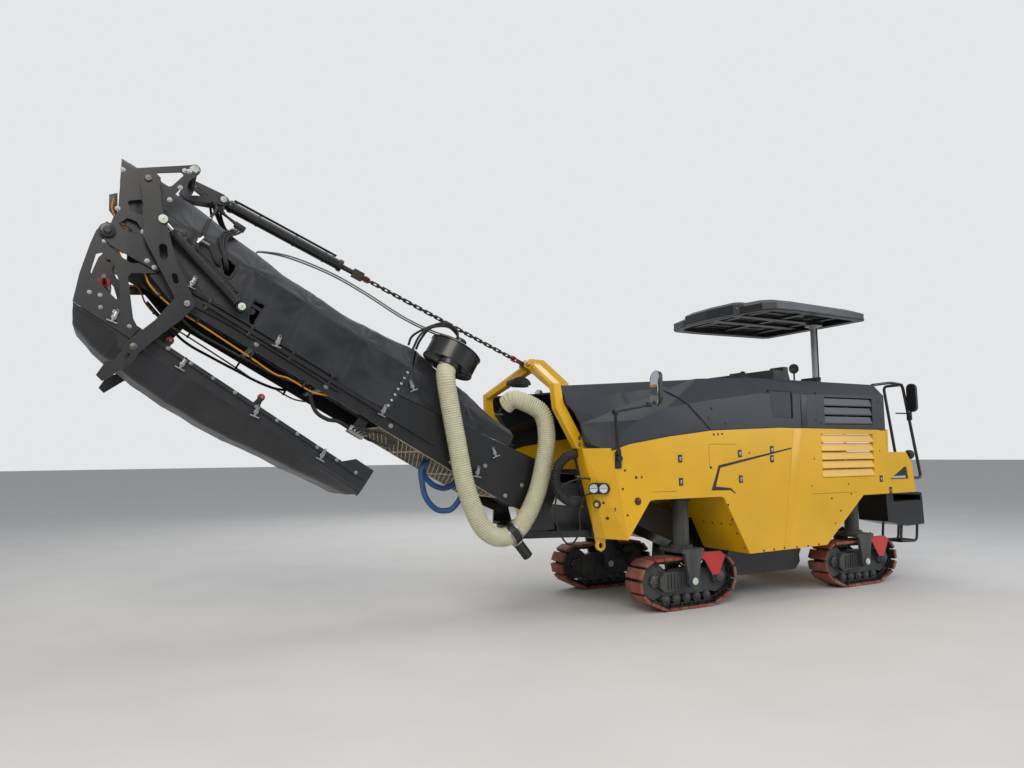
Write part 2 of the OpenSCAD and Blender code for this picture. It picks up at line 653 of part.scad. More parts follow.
// Middle of the twin head lamp on the corner panel's slope, and the slope's direction
lamp_at = [2565, 959, 1305];
lamp_turn = 40.9;
module lamp_body(grow) translate(lamp_at) rotate([0, 0, lamp_turn]) rotate([0, 90, 0]) hull() {
    translate([0, -50, -30 - grow]) cylinder(d = 110 + 2 * grow, h = 80 + grow);
    translate([0, 50, -30 - grow]) cylinder(d = 110 + 2 * grow, h = 80 + grow);
}
tail_slope = atan2(49, 362);
module head_lamps() {
    color([0.9, 0.92, 0.95]) machine() for (s = [0, 1]) mirror([0, s, 0]) {
        lamp_body(0);
        translate([-2182 + 49 * 310 / 362 - gap, body_y - 150, 1440]) rotate([0, -90 + tail_slope, 0])
            cylinder(d = 90, h = 60);
    }
}

rear_eye = [-2140, 480, 1040];
module lashing_eyes() {
    color([0.96, 0.7, 0.02]) machine() for (s = [0, 1]) mirror([0, s, 0]) {
        difference() {
            xz(700, 730) union() {
                polygon([[2340, 799.7], [2470, 799.7], [2440, 700], [2370, 700]]);
                translate([2405, 715]) circle(d = 110);
            }
            pin_y([2405, 715], eye_bore, 600, 800);
        }
        difference() {
            yz(rear_eye[0] - 15, rear_eye[0] + 15) union() {
                polygon([[rear_eye[1] - 70, 1129.7], [rear_eye[1] + 40, 1129.7],
                    [rear_eye[1] + 30, rear_eye[2]],
                    [rear_eye[1] - 30, rear_eye[2]]]);
                translate([rear_eye[1], rear_eye[2]]) circle(d = 110);
            }
            translate([rear_eye[0] - 30, rear_eye[1], rear_eye[2]]) rotate([0, 90, 0])
                cylinder(d = eye_bore, h = 60);
        }
    }
}

// Milling unit
drum_x = 60;
housing_x = [-440, 560];
housing_y = mill_w / 2 + 30;
module drum_housing() {
    color([0.1, 0.1, 0.11]) machine() difference() {
        union() {
            xz(-housing_y, housing_y) polygon([[housing_x[0], 330], [housing_x[0] - 15, 330],
                [housing_x[0] - 15, 1000], [-200, 1179.7], [300, 1179.7], [housing_x[1] + 15, 1000],
                [housing_x[1] + 15, 430], [housing_x[1], 430], [housing_x[1], 990], [295, 1165],
                [-195, 1165], [housing_x[0], 990]]);
            xz_pair(housing_y, housing_y + 20) polygon([[housing_x[0] - 15, 420], [housing_x[0] - 15, 1000],
                [-200, 1179.7], [300, 1179.7], [housing_x[1] + 15, 1000], [housing_x[1] + 15, 430]]);
        }
        block([housing_x[1] - 5, -330, 460], [housing_x[1] + 20, 330, 800]);
    }
}
module edge_plates() {
    color([0.07, 0.07, 0.08]) machine() xz_pair(housing_y + 20 + gap, housing_y + 45)
        polygon([[-480, 880], [-520, 330], [-440, 250], [560, 250], [650, 330], [600, 880]]);
}
pick_lead = 720;
module milling_drum() {
    tip_r = drum_d / 2;
    tube_r = drum_tube_d / 2;
    holder = [70, 46, 64];
    color([0.25, 0.25, 0.26]) machine() translate([drum_x, 0, drum_z]) {
        pin_y([0, 0], drum_tube_d, -mill_w / 2 + 10, mill_w / 2 - 10);
        pin_y([0, 0], 180, -housing_y + gap, housing_y - gap);
        for (s = [-1, 1], k = [0 : picks - 1])
            translate([0, s * (25 + (mill_w / 2 - 60) * k / (picks - 1)), 0])
                rotate([0, s * 180 + k * 34, 0]) {
                    translate([tube_r - 6, -holder[1] / 2, -holder[0] / 2])
                        cube([holder[2], holder[1], holder[0]]);
                    translate([tube_r + 40, 0, 0]) rotate([0, 60, 0])
                        cylinder(d1 = 34, d2 = 12, h = 72, $fn = 6);
                }
    }
}

module collecting_conveyor() {
    color([0.1, 0.1, 0.11]) machine() difference() {
        union() {
            xz(-300, 300) polygon([[housing_x[1] + 15 + gap, 490], [650, 440], [2340, 1150], [2390, 1200],
                [2390, 1440], [2340, 1480], [housing_x[1] + 15 + gap, 760]]);
            xz(-400 + gap, 400 - gap) polygon([[2372, 1260], [2395, 1260], [2395, 1320], [2372, 1320]]);
        }
        xz(-270, 270) polygon([[560, 560], [2420, 1345], [2420, 1440], [560, 660]]);
    }
}

// Pins of the luffing and folding gear: along and square to the conveyor, from the luffing pins
tip_lever_pin = [4612, 583];
fold_hinge = [4628, 61];
lever_low_pin = [3837, -136];
link_fold_pin = [3977, -647];
lever_cyl_pin = [4346, 360];
fold_cyl_base = [3473, 100];
luff_barrel_pin = [4098, 966];
crossbar_at = [4387, 904];
// The folded section hangs a little steeper than the conveyor
fold_tilt = 3.7;
function untilted(p) = let (v = p - fold_hinge) fold_hinge
    + [v[0] * cos(fold_tilt) + v[1] * sin(fold_tilt), v[1] * cos(fold_tilt) - v[0] * sin(fold_tilt)];

module conveyor_local() translate([luff_x, 0, luff_z]) rotate([0, -conveyor_slope, 0]) children();

module fold_local() conveyor_local() translate([fold_hinge[0], 0, fold_hinge[1]])
    rotate([0, -fold_tilt, 0]) translate([-fold_hinge[0], 0, -fold_hinge[1]]) children();

turret_z = [shelf_z[1] + gap, shelf_z[1] + 60];
module slew_turret() {
    cheek_y = conv_w / 2 + gap + 5;
    color([0.1, 0.1, 0.11]) machine() difference() {
        union() {
            translate([slew_x, 0, turret_z[0]]) cylinder(r = 325, h = turret_z[1] - turret_z[0]);
            block([slew_x - 60, -cheek_y - 25, turret_z[1] - 30], [slew_x + 170, cheek_y + 25, turret_z[1]]);
            xz_pair(cheek_y, cheek_y + 25) polygon([[slew_x - 60, turret_z[1] - 1],
                [slew_x + 170, turret_z[1] - 1],
                [luff_x + 70, luff_z + 40], [luff_x, luff_z + 80], [luff_x - 70, luff_z + 40]]);
        }
        translate([slew_x, 0, 800]) cylinder(d = 300 + 2 * gap, h = 300);
        pin_y([luff_x, luff_z], 80 + 2 * gap, -600, 600);
        // Room for the conveyor's tail drum
        block([slew_x - 200, -cheek_y, turret_z[1]], [slew_x + 400, cheek_y, 1400]);
    }
}

frame_y = conv_w / 2;
// Planes of the linkage, from the conveyor outwards
lever_y = link_gauge / 2 - plate_t / 2;
arm_y = frame_y + 6;
plate_y = arm_y + side_t + 6;
cyl_y = (plate_y + plate_t + lever_y) / 2;
eye_w = 30;
frame_low = -150;
frame_high = 200;
module conveyor_frame() {
    color([0.09, 0.09, 0.1]) machine() conveyor_local() {
        difference() {
            union() {
                xz_pair(frame_y - side_t, frame_y) polygon([[-110, -80], [60, frame_low + 30],
                    [350, frame_low],
                    [3960, frame_low], [4300, -20], [4440, 60], [4470, frame_high - 20],
                    [4470, frame_high], [1850, frame_high],
                    [120, 420], [-110, 150]]);
                for (x = [420, 1100, 1800, 2500, 3200, 3850])
                    pin_y([x, frame_low + 60], 60, -frame_y + 1, frame_y - 1);
                xz_pair(frame_y - 1, frame_y + 30) polygon([[1350, -40], [3740, -40], [3740, -10],
                    [1350, -10]]);
                pin_y([0, 0], 80, -frame_y - 31, -frame_y + 1);
                pin_y([0, 0], 80, frame_y - 1, frame_y + 31);
                // Base brackets of the fold cylinders
                xz_pair(frame_y - 1, cyl_y - eye_w / 2 - gap) translate(fold_cyl_base) circle(d = 80);
                pin_y(fold_cyl_base, pin_d, frame_y, cyl_y + eye_w / 2 + 8);
                pin_y(fold_cyl_base, pin_d, -cyl_y - eye_w / 2 - 8, -frame_y);
            }
            // Opening beside the fold cylinder's bracket
            xz(-600, 600) polygon([[3310, 30], [3345, 30], [3408, 136], [3408, 170], [3322, 170]]);
        }
    }
}

belt_r = 110;
module belt_loop(x0, x1, zc, r, t) {
    difference() {
        xz(-belt_w / 2, belt_w / 2) {
            translate([x0, zc]) circle(r = r);
            translate([x1, zc]) circle(r = r);
            translate([x0, zc - r]) square([x1 - x0, 2 * r]);
        }
        xz(-belt_w / 2 - 1, belt_w / 2 + 1) {
            translate([x0, zc]) circle(r = r - t);
            translate([x1, zc]) circle(r = r - t);
            translate([x0, zc - r + t]) square([x1 - x0, 2 * (r - t)]);
        }
    }
}
main_belt = [30, 4340];
belt_zc = 70;
module conveyor_belt() {
    color([0.06, 0.06, 0.06]) machine() conveyor_local()
        belt_loop(main_belt[0], main_belt[1], belt_zc, belt_r, belt_t);
}
module conveyor_rollers() {
    color([0.55, 0.1, 0.08]) machine() conveyor_local() {
        for (x = main_belt) pin_y([x, belt_zc], 2 * (belt_r - belt_t - gap), -belt_w / 2, belt_w / 2);
        for (x = main_belt) pin_y([x, belt_zc], 50, -frame_y + side_t + gap, frame_y - side_t - gap);
        for (k = [0 : 7]) pin_y([500 + k * 480, belt_zc + belt_r - belt_t - 30 - gap], 60,
            -frame_y + side_t + gap, frame_y - side_t - gap);
    }
}

// Cover: half section, then its top along the conveyor, rising towards the tip
cover_shoulder_z = 465;
cover_peak = [300, 714];
cover_level_z = 615;
cover_rise_x = [3270, 4177];
cover_x = [1880, 5300];
discharge_edge = [[4636, 200], [4905, 708]];
module cover_form(inset, ends) intersection() {
    half = [[frame_y - inset, frame_high + gap], [frame_y - inset, cover_shoulder_z - 0.27 * inset],
        [cover_peak[0] - 0.56 * inset, cover_peak[1] - inset]];
    yz(cover_x[0] - ends, cover_x[1] + ends) polygon(concat([for (p = half) p - [0, ends / 10]],
        [for (k = [2 : -1 : 0]) [-half[k][0], half[k][1] - ends / 10]]));
    xz(-frame_y - 1, frame_y + 1) polygon([[cover_x[0] - 20, 100], [cover_x[0] - 20, cover_level_z - inset],
        [cover_rise_x[0], cover_level_z - inset], [cover_rise_x[1], cover_peak[1] - inset],
        [cover_x[1] + 20, cover_peak[1] - inset], [cover_x[1] + 20, 100]]);
}
module conveyor_cover() {
    color([0.11, 0.115, 0.13]) machine() conveyor_local() difference() {
        cover_form(0, 0);
        cover_form(cover_t, 10);
        // Discharge end
        xz(-600, 600) polygon([discharge_edge[0], discharge_edge[1], [4912, 800], [5400, 800],
            [5400, 190], [4636, 190]]);
        // Window for the hoses at the tip
        xz_pair(frame_y - 20, frame_y + 1) polygon([[3684, 295], [3705, 280], [3740, 285], [3826, 385],
            [3820, 410],
            [3780, 415], [3700, 405], [3684, 390]]);
    }
}
module tent_cover() {
    color([0.1, 0.105, 0.12]) machine() conveyor_local() difference() {
        hull() {
            yz(1879 - 1, 1879) polygon([[frame_y, frame_high + gap], [frame_y, 500], [220, 740], [-220, 740],
                [-frame_y, 500], [-frame_y, frame_high + gap]]);
            yz(620, 621) polygon([[frame_y, 360], [frame_y, 470], [300, 560], [-300, 560], [-frame_y, 470],
                [-frame_y, 360]]);
        }
        hull() {
            yz(1879 - 1, 1880) polygon([[frame_y - cover_t, frame_high], [frame_y - cover_t, 495],
                [215, 730],
                [-215, 730], [-frame_y + cover_t, 495], [-frame_y + cover_t, frame_high]]);
            yz(619, 620) polygon([[frame_y - cover_t, 350], [frame_y - cover_t, 465], [295, 550],
                [-295, 550],
                [-frame_y + cover_t, 465], [-frame_y + cover_t, 350]]);
        }
        translate([duct_at[0], duct_at[1], 500]) cylinder(d = 140 + 2 * gap, h = 300);
    }
}

module mesh_guard() {
    color([0.3, 0.3, 0.31]) machine() conveyor_local() difference() {
        xz(-frame_y, frame_y) polygon([[500, frame_low - gap], [1900, frame_low - gap],
            [1900, frame_low - 8], [500, frame_low - 8]]);
        for (k = [0 : 9], j = [-3 : 3]) translate([560 + k * 135, j * 110, frame_low - 20])
            cylinder(d = 60, h = 40, $fn = 6);
    }
}

module tip_frame() {
    color([0.16, 0.165, 0.18]) machine() conveyor_local() {
        xz_pair(plate_y, plate_y + plate_t) difference() {
            union() {
                polygon([[4818, 555], [4760, 450], [4649, 247], [4656, 186], fold_hinge, [4632, 0],
                    [4553, -28],
                    [4161, -12], [4158, 8], [4287, 79], [4402, 178], [4398, 618], [4385, 727], [4345, 888],
                    crossbar_at, [4402, 946]]);
                translate(fold_hinge) circle(d = 130);
                translate(crossbar_at) circle(d = 90);
            }
            polygon([[4599, 688], [4590, 702], [4462, 815], [4440, 815], [4430, 800], [4452, 672],
                [4468, 652],
                [4528, 649]]);
            polygon([[4637, 350], [4632, 370], [4575, 424], [4555, 418], [4503, 336], [4510, 318],
                [4580, 305]]);
            polygon([[4595, 160], [4568, 237], [4501, 251], [4443, 221], [4436, 171], [4534, 133]]);
        }
        // Pins of the levers and of the fold hinge
        for (s = [0, 1]) mirror([0, s, 0]) {
            pin_y(tip_lever_pin, pin_d, plate_y + 1, lever_y + plate_t + 10);
            pin_y(tip_lever_pin, pin_d + 30, plate_y + 1, lever_y - gap);
            pin_y(fold_hinge, pin_d, frame_y - side_t - 8, plate_y + 1);
            pin_y(fold_hinge, pin_d + 30, plate_y + plate_t - 1, plate_y + plate_t + 20);
        }
        // Spacers between the plates and the conveyor frame
        xz_pair(frame_y + gap, plate_y + 1)
            polygon([[4335, 40], [4420, 80], [4418, 120], [4390, 130], [4335, 80]]);
        // Crossbar and centre bracket of the luffing cylinder
        pin_y(crossbar_at, 60, -plate_y - 1, plate_y + 1);
        xz_pair(60, 78) difference() {
            polygon([[4440, 925], [4405, 960], [4120, 1010], [4058, 990], [4052, 940], [4110, 905],
                [4350, 776],
                [4425, 780]]);
            polygon([[4352, 930], [4215, 918], [4340, 825]]);
        }
        pin_y(luff_barrel_pin, pin_d, -90, 90);
    }
}

// Duct from the fan down into the tent, x and y along the conveyor
duct_at = [1470, 260];
module fan_housing() {
    color([0.06, 0.06, 0.07]) machine() conveyor_local() {
        translate([1560, 330, 741]) {
            cylinder(d = fan_d, h = 200);
            cylinder(d = 200, h = 250);
        }
        translate([duct_at[0], duct_at[1], 600]) cylinder(d = 140, h = 150);
    }
}

// Suction hose route, points of x, y and z, from the fan down and back up to the hopper
hose_y = 556;
hose_top = world([1600, 741 - gap]);
hose_drop = world([1600, 672]);
hose_side = world([1560, 530]);
hose_end = world([830, 720]);
hose_route = [[hose_top[0], 488, hose_top[1]], [hose_drop[0], 488, hose_drop[1]],
    [hose_side[0], hose_y, hose_side[1]],
    [3936, hose_y, 1795], [3840, hose_y, 1350], [3700, hose_y, 1010], [3560, hose_y, 870],
    [3400, hose_y, 850], [3230, hose_y, 960], [3060, hose_y, 1250], [2960, hose_y, 1600],
    [2930, hose_y, 1850], [2990, 540, 2080], [hose_end[0] - 70, 470, hose_end[1] + 60],
        [hose_end[0], 380, hose_end[1]]];
module suction_hose() {
    color([0.78, 0.76, 0.66]) machine() tube_path(hose_route, hose_d, 60, 16);
}

// Folded section, drawn level in fold_local(), under the conveyor
rail_top = -430;
fold_side = 120;
fold_pin_at = untilted(link_fold_pin);
nose_low = [4488, rail_top - fold_side];
fold_belt_x = [1800, 4240];
fold_belt_z = -505;
fold_drum_r = 70;
fold_tube_z = fold_belt_z + fold_drum_r - belt_t - 24;
module fold_frame() {
    color([0.1, 0.1, 0.11]) machine() fold_local() {
        difference() {
            union() {
                xz_pair(frame_y - side_t, frame_y) {
                    polygon([[1700, rail_top - fold_side], [1700, rail_top + 90], [1900, rail_top + 90],
                        [2000, rail_top], [4120, rail_top], [4400, -385], [4400, rail_top - fold_side]]);
                    polygon([[3708, rail_top - fold_side + 1], [3790, -600], fold_pin_at, [4020, -665],
                        [4120, rail_top - fold_side + 1]]);
                    translate(fold_pin_at) circle(d = 130);
                }
                // Hinge arms with the nose plates, outside the conveyor's cover when the section is
                // swung out
                xz_pair(arm_y, arm_y + side_t) difference() {
                    polygon([[3994, rail_top - 18], [4075, -402], [4300, -150], [4301, -106], [4220, -40],
                        [4158, 10], [4158, 50], [4240, 50], [4308, -7], [4347, -41], [4468, -47], [4548, 0],
                        [4570, 125], [4680, 125], [4695, 20], [4664, -98], [4583, -336], nose_low,
                        [3994, rail_top - fold_side]]);
                    polygon([[4584, -140], [4560, -106], [4536, -102], [4445, -123], [4332, -217],
                        [4251, -319],
                        [4262, -350], [4506, -300], [4530, -280]]);
                }
                xz_pair(frame_y - 1, arm_y + 1) polygon([[4000, rail_top - 40], [4380, rail_top - 40],
                    [4380, rail_top - 100], [4000, rail_top - 100]]);
                // Guide rails, cross tubes and the bosses of the link pins
                xz_pair(frame_y - 1, frame_y + 26) polygon([[1760, rail_top - 34], [1760, rail_top],
                    [3880, rail_top], [3880, rail_top - 34]]);
                for (x = [1900, 2700, 3500, 4120]) pin_y([x, fold_tube_z], 40, -frame_y + 1, frame_y - 1);
                for (s = [0, 1]) mirror([0, s, 0])
                    pin_y(fold_pin_at, 90, frame_y - 1, lever_y + plate_t);
            }
            pin_y(fold_hinge, pin_d + 2 * gap, -700, 700);
        }
    }
}
module fold_belt() {
    color([0.06, 0.06, 0.06]) machine() fold_local()
        belt_loop(fold_belt_x[0], fold_belt_x[1], fold_belt_z, fold_drum_r, belt_t);
}
module fold_rollers() {
    color([0.55, 0.1, 0.08]) machine() fold_local() for (x = fold_belt_x) {
        pin_y([x, fold_belt_z], 2 * (fold_drum_r - belt_t - gap), -belt_w / 2, belt_w / 2);
        pin_y([x, fold_belt_z], 36, -frame_y + side_t + gap, frame_y - side_t - gap);
    }
}
// The section's cover hangs below its frame, open at the nose
cover_top = rail_top - fold_side - gap;
fold_belly = [[1760, -650], [2304, -714], [3168, -815], [3801, -809], [4207, -754], [4406, -690]];
module fold_cover() {
    color([0.1, 0.105, 0.12]) machine() fold_local() difference() {
        hull() {
            xz(-frame_y, frame_y) polygon([[1700, cover_top], [nose_low[0], cover_top], [4460, -590],
                [1700, -590]]);
            xz(-300, 300) polygon(fold_belly);
        }
        hull() {
            xz(-frame_y + cover_t, frame_y - cover_t) polygon([[1710, cover_top + 1], [4700, cover_top + 1],
                [4700, -588], [1710, -588]]);
            xz(-294, 294) polygon(concat([for (p = fold_belly) p + [cover_t, cover_t]], [[4600, -610]]));
        }
        // Clearance for the link pins' lugs
        xz_pair(frame_y - side_t - gap, frame_y + 1) polygon([[3690, -540], [3780, -606], [3868, -680],
            [3990, -690], [4032, -670], [4140, -540]]);
    }
}

module fold_lever() {
    color([0.17, 0.175, 0.19]) machine() conveyor_local() {
        xz_pair(lever_y, lever_y + plate_t) difference() {
            union() {
                polygon([[4540, 645], [4600, 658], [4660, 635], [4672, 575], [4630, 505], [4529, 379],
                    [4390, 154],
                    [3944, -136], [3876, -196], lever_low_pin, [3800, -80], [4129, 166], [4296, 337],
                        [4421, 465],
                    [4517, 596]]);
                translate(lever_low_pin) circle(d = 110);
                translate(lever_cyl_pin) circle(d = 90);
            }
            translate(tip_lever_pin) circle(d = pin_d + 2 * gap);
            strap([4183, 106], [4225, 162], 60);
            strap([4001, -20], [4034, 14], 42);
        }
        for (s = [0, 1]) mirror([0, s, 0]) {
            pin_y(lever_low_pin, pin_d, lever_y + 1, lever_y + 2 * plate_t + 12);
            pin_y(lever_cyl_pin, pin_d + 20, lever_y + plate_t - 1, lever_y + plate_t + 12);
        }
    }
}
module fold_link() {
    y0 = lever_y + plate_t + gap;
    color([0.17, 0.175, 0.19]) machine() conveyor_local() difference() {
        xz_pair(y0, y0 + plate_t) difference() {
            union() {
                polygon([[3776, -130], [3800, -78], [3868, -78], [3935, -150], [3962, -384], [4032, -620],
                    [4030, -800], [4078, -850], [4078, -975], [4018, -993], [3958, -860], [3918, -770],
                        [3915, -650],
                    [3852, -414], [3800, -261]]);
                translate(link_fold_pin) circle(d = 116);
            }
            strap([3973, -752], [3975, -718], 26);
        }
        pin_y(lever_low_pin, pin_d + 2 * gap, -700, 700);
    }
}

function toward(a, b) = unit(b - a);
module rod_between(a, b, d, from, to) {
    u = toward(a, b);
    p = a + u * from;
    q = a + u * to;
    bar([p[0], 0, p[1]], [q[0], 0, q[1]], d);
}
module fold_cylinder_barrels() {
    color([0.07, 0.07, 0.08]) machine() conveyor_local() for (s = [-1, 1]) translate([0, s * cyl_y, 0])
        difference() {
        union() {
            rod_between(fold_cyl_base, lever_cyl_pin, fold_cyl_d, 50, 800);
            pin_y(fold_cyl_base, 90, -eye_w / 2, eye_w / 2);
            rod_between(fold_cyl_base, lever_cyl_pin, 28, 20, 60);
        }
        pin_y(fold_cyl_base, pin_d + 2 * gap, -50, 50);
        rod_between(fold_cyl_base, lever_cyl_pin, 51, 120, 820);
    }
}
module fold_cylinder_rods() {
    reach = norm(lever_cyl_pin - fold_cyl_base);
    color([0.7, 0.71, 0.72]) machine() conveyor_local() for (s = [-1, 1]) translate([0, s * cyl_y, 0]) {
        rod_between(fold_cyl_base, lever_cyl_pin, 50, 130, reach - 30);
        // Eye with the pin's boss, which ends short of the lever
        pin_y(lever_cyl_pin, 80, -eye_w / 2, eye_w / 2);
        mirror([0, s > 0 ? 0 : 1, 0]) pin_y(lever_cyl_pin, pin_d, 0, lever_y - cyl_y - gap);
    }
}

// Luffing stay from the bracket to the mast's shackle, in world x and z
function world(p) = [luff_x + p[0] * cos(conveyor_slope) - p[1] * sin(conveyor_slope),
    luff_z + p[0] * sin(conveyor_slope) + p[1] * cos(conveyor_slope)];
stay_top = world(luff_barrel_pin);
stay_low = [2870, 2628];
stay_len = norm(stay_top - stay_low);
barrel_len = 1210;
rod_in = 300;
rod_eye = 1350;
chain_start = 1500;
link_pitch = 62;
chain_links = floor((stay_len - chain_start - 120) / link_pitch);
module luff_cylinder_barrel() {
    color([0.07, 0.07, 0.08]) machine() difference() {
        union() {
            rod_between(stay_top, stay_low, luff_cyl_d, 45, barrel_len);
            pin_y(stay_top, 100, -50, 50);
        }
        pin_y(stay_top, pin_d + 2 * gap, -60, 60);
        rod_between(stay_top, stay_low, luff_rod_d + 1, 200, barrel_len + 10);
    }
}
module luff_rod_and_chain() {
    u = toward(stay_top, stay_low);
    a = atan2(u[1], u[0]);
    color([0.12, 0.12, 0.12]) machine() translate([stay_top[0], 0, stay_top[1]]) rotate([0, -a, 0]) {
        translate([rod_in, 0, 0]) rotate([0, 90, 0]) cylinder(d = luff_rod_d, h = rod_eye - rod_in);
        translate([rod_eye - 20, -30, -40]) cube([110, 60, 80]);
        translate([rod_eye + 80, -12, -22]) cube([chain_start - rod_eye - 70, 24, 44]);
        for (k = [0 : chain_links]) translate([chain_start + k * link_pitch - 20, 0, 0])
            rotate([k % 2 * 90, 0, 0])
            difference() {
                translate([-6, -20, -6]) cube([link_pitch + 28, 40, 12]);
                translate([10, -8, -7]) cube([link_pitch - 4, 16, 14]);
            }
        translate([stay_len - 110, -12, -20]) cube([90, 24, 40]);
        difference() {
            pin_y([stay_len, 0], 60, -20, 20);
            pin_y([stay_len, 0], 34, -50, 50);
        }
    }
}

module leg_front_left() leg(leg_x, leg_y);
module leg_front_right() leg(leg_x, -leg_y);
module leg_rear_left() leg(-leg_x, leg_y);
module leg_rear_right() leg(-leg_x, -leg_y);
module track_frame_front_left() track_frame(leg_x, leg_y, 1);
module track_frame_front_right() track_frame(leg_x, -leg_y, -1);
module track_frame_rear_left() track_frame(-leg_x, leg_y, 1);
module track_frame_rear_right() track_frame(-leg_x, -leg_y, -1);
module track_front_left() track(leg_x, leg_y);
module track_front_right() track(leg_x, -leg_y);
module track_rear_left() track(-leg_x, leg_y);
module track_rear_right() track(-leg_x, -leg_y);

chassis_frame();
slewing_shelf();
engine_block();
bay_walls();
side_panel_left();
side_panel_right();
front_corner_panels();
tail_panel();
side_grilles();
hood_front();
hood_rear();
hood_grilles();
side_windows();
mast();
operator_floor();
operator_seats();
control_consoles();
canopy_post();
canopy_roof();
handrails();
rear_steps();
mirrors();
head_lamps();
lashing_eyes();
drum_housing();
edge_plates();
milling_drum();
collecting_conveyor();
leg_front_left();
leg_front_right();
leg_rear_left();
leg_rear_right();
track_frame_front_left();
track_frame_front_right();
track_frame_rear_left();
track_frame_rear_right();
track_front_left();
track_front_right();
track_rear_left();
track_rear_right();
slew_turret();
conveyor_frame();
conveyor_belt();
conveyor_rollers();
conveyor_cover();
tent_cover();
mesh_guard();
tip_frame();
fan_housing();
suction_hose();
fold_frame();
fold_belt();
fold_rollers();
fold_cover();
fold_lever();
fold_link();
fold_cylinder_barrels();
fold_cylinder_rods();
luff_cylinder_barrel();
luff_rod_and_chain();
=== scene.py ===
"""Looks of the cold planer milling machine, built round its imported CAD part."""
import math

import bmesh
import bpy
from mathutils import Euler, Matrix, Vector, noise
from mathutils.bvhtree import BVHTree


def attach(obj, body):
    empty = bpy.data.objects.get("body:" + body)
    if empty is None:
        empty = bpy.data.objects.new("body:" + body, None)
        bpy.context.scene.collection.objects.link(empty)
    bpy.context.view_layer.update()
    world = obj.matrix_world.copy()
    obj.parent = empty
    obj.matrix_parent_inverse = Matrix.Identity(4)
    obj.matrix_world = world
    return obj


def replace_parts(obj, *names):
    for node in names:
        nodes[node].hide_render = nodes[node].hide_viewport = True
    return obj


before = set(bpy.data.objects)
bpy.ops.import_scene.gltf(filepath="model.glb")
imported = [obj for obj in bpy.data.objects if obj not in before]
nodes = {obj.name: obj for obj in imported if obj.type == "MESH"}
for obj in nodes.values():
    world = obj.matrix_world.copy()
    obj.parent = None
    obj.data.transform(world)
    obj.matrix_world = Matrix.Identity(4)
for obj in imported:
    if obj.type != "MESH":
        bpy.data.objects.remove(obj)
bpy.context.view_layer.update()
scene = bpy.context.scene

# Places: sizes are millimetres from mid-wheelbase at ground level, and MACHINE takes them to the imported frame
MID_X = 2295
MACHINE = Matrix.Diagonal((0.001, 0.001, 0.001, 1)) @ Matrix.Translation((-MID_X, 0, 0))
SLOPE = math.radians(29.8)
LUFF_PIN = (2950, 0, 1110)
CONVEYOR = Matrix.Translation(LUFF_PIN) @ Matrix.Rotation(-SLOPE, 4, "Y")
FOLD_HINGE = (4628, 0, 61)
FOLDED = (CONVEYOR @ Matrix.Translation(FOLD_HINGE) @ Matrix.Rotation(-math.radians(3.7), 4, "Y")
          @ Matrix.Translation([-c for c in FOLD_HINGE]))
HERE = Matrix.Identity(4)
CRAWLERS = {"front_left": (1377.5, 756), "front_right": (1377.5, -756),
            "rear_left": (-1377.5, 756), "rear_right": (-1377.5, -756)}
SIDES = (-1, 1)

# The place that each body's pieces are drawn in, where it isn't the machine's own
PLACE = {"conveyor": CONVEYOR, "fold_lever": CONVEYOR, "fold_link": CONVEYOR, "fold_barrels": CONVEYOR,
         "fold": FOLDED}
PLACE.update({"crawler_" + corner: Matrix.Translation((x, y, 0)) for corner, (x, y) in CRAWLERS.items()})


def drawn_in(body, place):
    """The place given, or else the one that the body's pieces are drawn in."""
    return PLACE.get(body, HERE) if place is None else place


# Nodes
def srgb(code):
    """An sRGB hex colour as the linear colour that the shaders take."""
    parts = [int(code[i:i + 2], 16) / 255 for i in (1, 3, 5)]
    return tuple(p / 12.92 if p <= 0.04045 else ((p + 0.055) / 1.055) ** 2.4 for p in parts) + (1.0,)


def shade(colour, by, lift=0.0):
    """A colour made darker or paler by a factor and a lift."""
    return tuple(min(1, c * by + lift) for c in colour[:3]) + (1,)


def add(tree, kind, values=None, **links):
    """Adds a node with its values; a named input takes a socket, or a node's first output."""
    made = tree.nodes.new(kind)
    for key, value in (values or {}).items():
        if isinstance(key, str) and hasattr(made, key):
            setattr(made, key, value)
        else:
            made.inputs[key].default_value = value
    for key, source in links.items():
        target = int(key[1:]) if key[0] == "i" and key[1:].isdigit() else key.replace("_", " ")
        tree.links.new(source if hasattr(source, "is_output") else source.outputs[0], made.inputs[target])
    return made


def times(tree, a, b):
    """The product of a socket and a number or a second socket."""
    if isinstance(b, (int, float)):
        return add(tree, "ShaderNodeMath", {"operation": "MULTIPLY", 1: b}, i0=a)
    return add(tree, "ShaderNodeMath", {"operation": "MULTIPLY"}, i0=a, i1=b)


def ranged(tree, source, low=0.0, high=1.0, to_low=0.0, to_high=1.0):
    """A value stretched from one range to another, and held inside it."""
    return add(tree, "ShaderNodeMapRange",
               {"From Min": low, "From Max": high, "To Min": to_low, "To Max": min(1, to_high)}, Value=source)


def mix(tree, share, a, b):
    """A mix of two colours, each a value or a socket."""
    values = {at: c for at, c in ((6, a), (7, b)) if isinstance(c, tuple)}
    links = {"i" + str(at): c for at, c in ((6, a), (7, b)) if not isinstance(c, tuple)}
    return add(tree, "ShaderNodeMix", {"data_type": "RGBA", **values}, i0=share, **links).outputs[2]


def grain(tree, place, scale, detail=2.0):
    return add(tree, "ShaderNodeTexNoise", {"Scale": scale, "Detail": detail}, Vector=place)


def spread(tree, place, scale, low, high, detail=4):
    """A noise pattern of a real grain size, its contrast stretched between two values."""
    return ranged(tree, grain(tree, place, scale, detail), low, high)


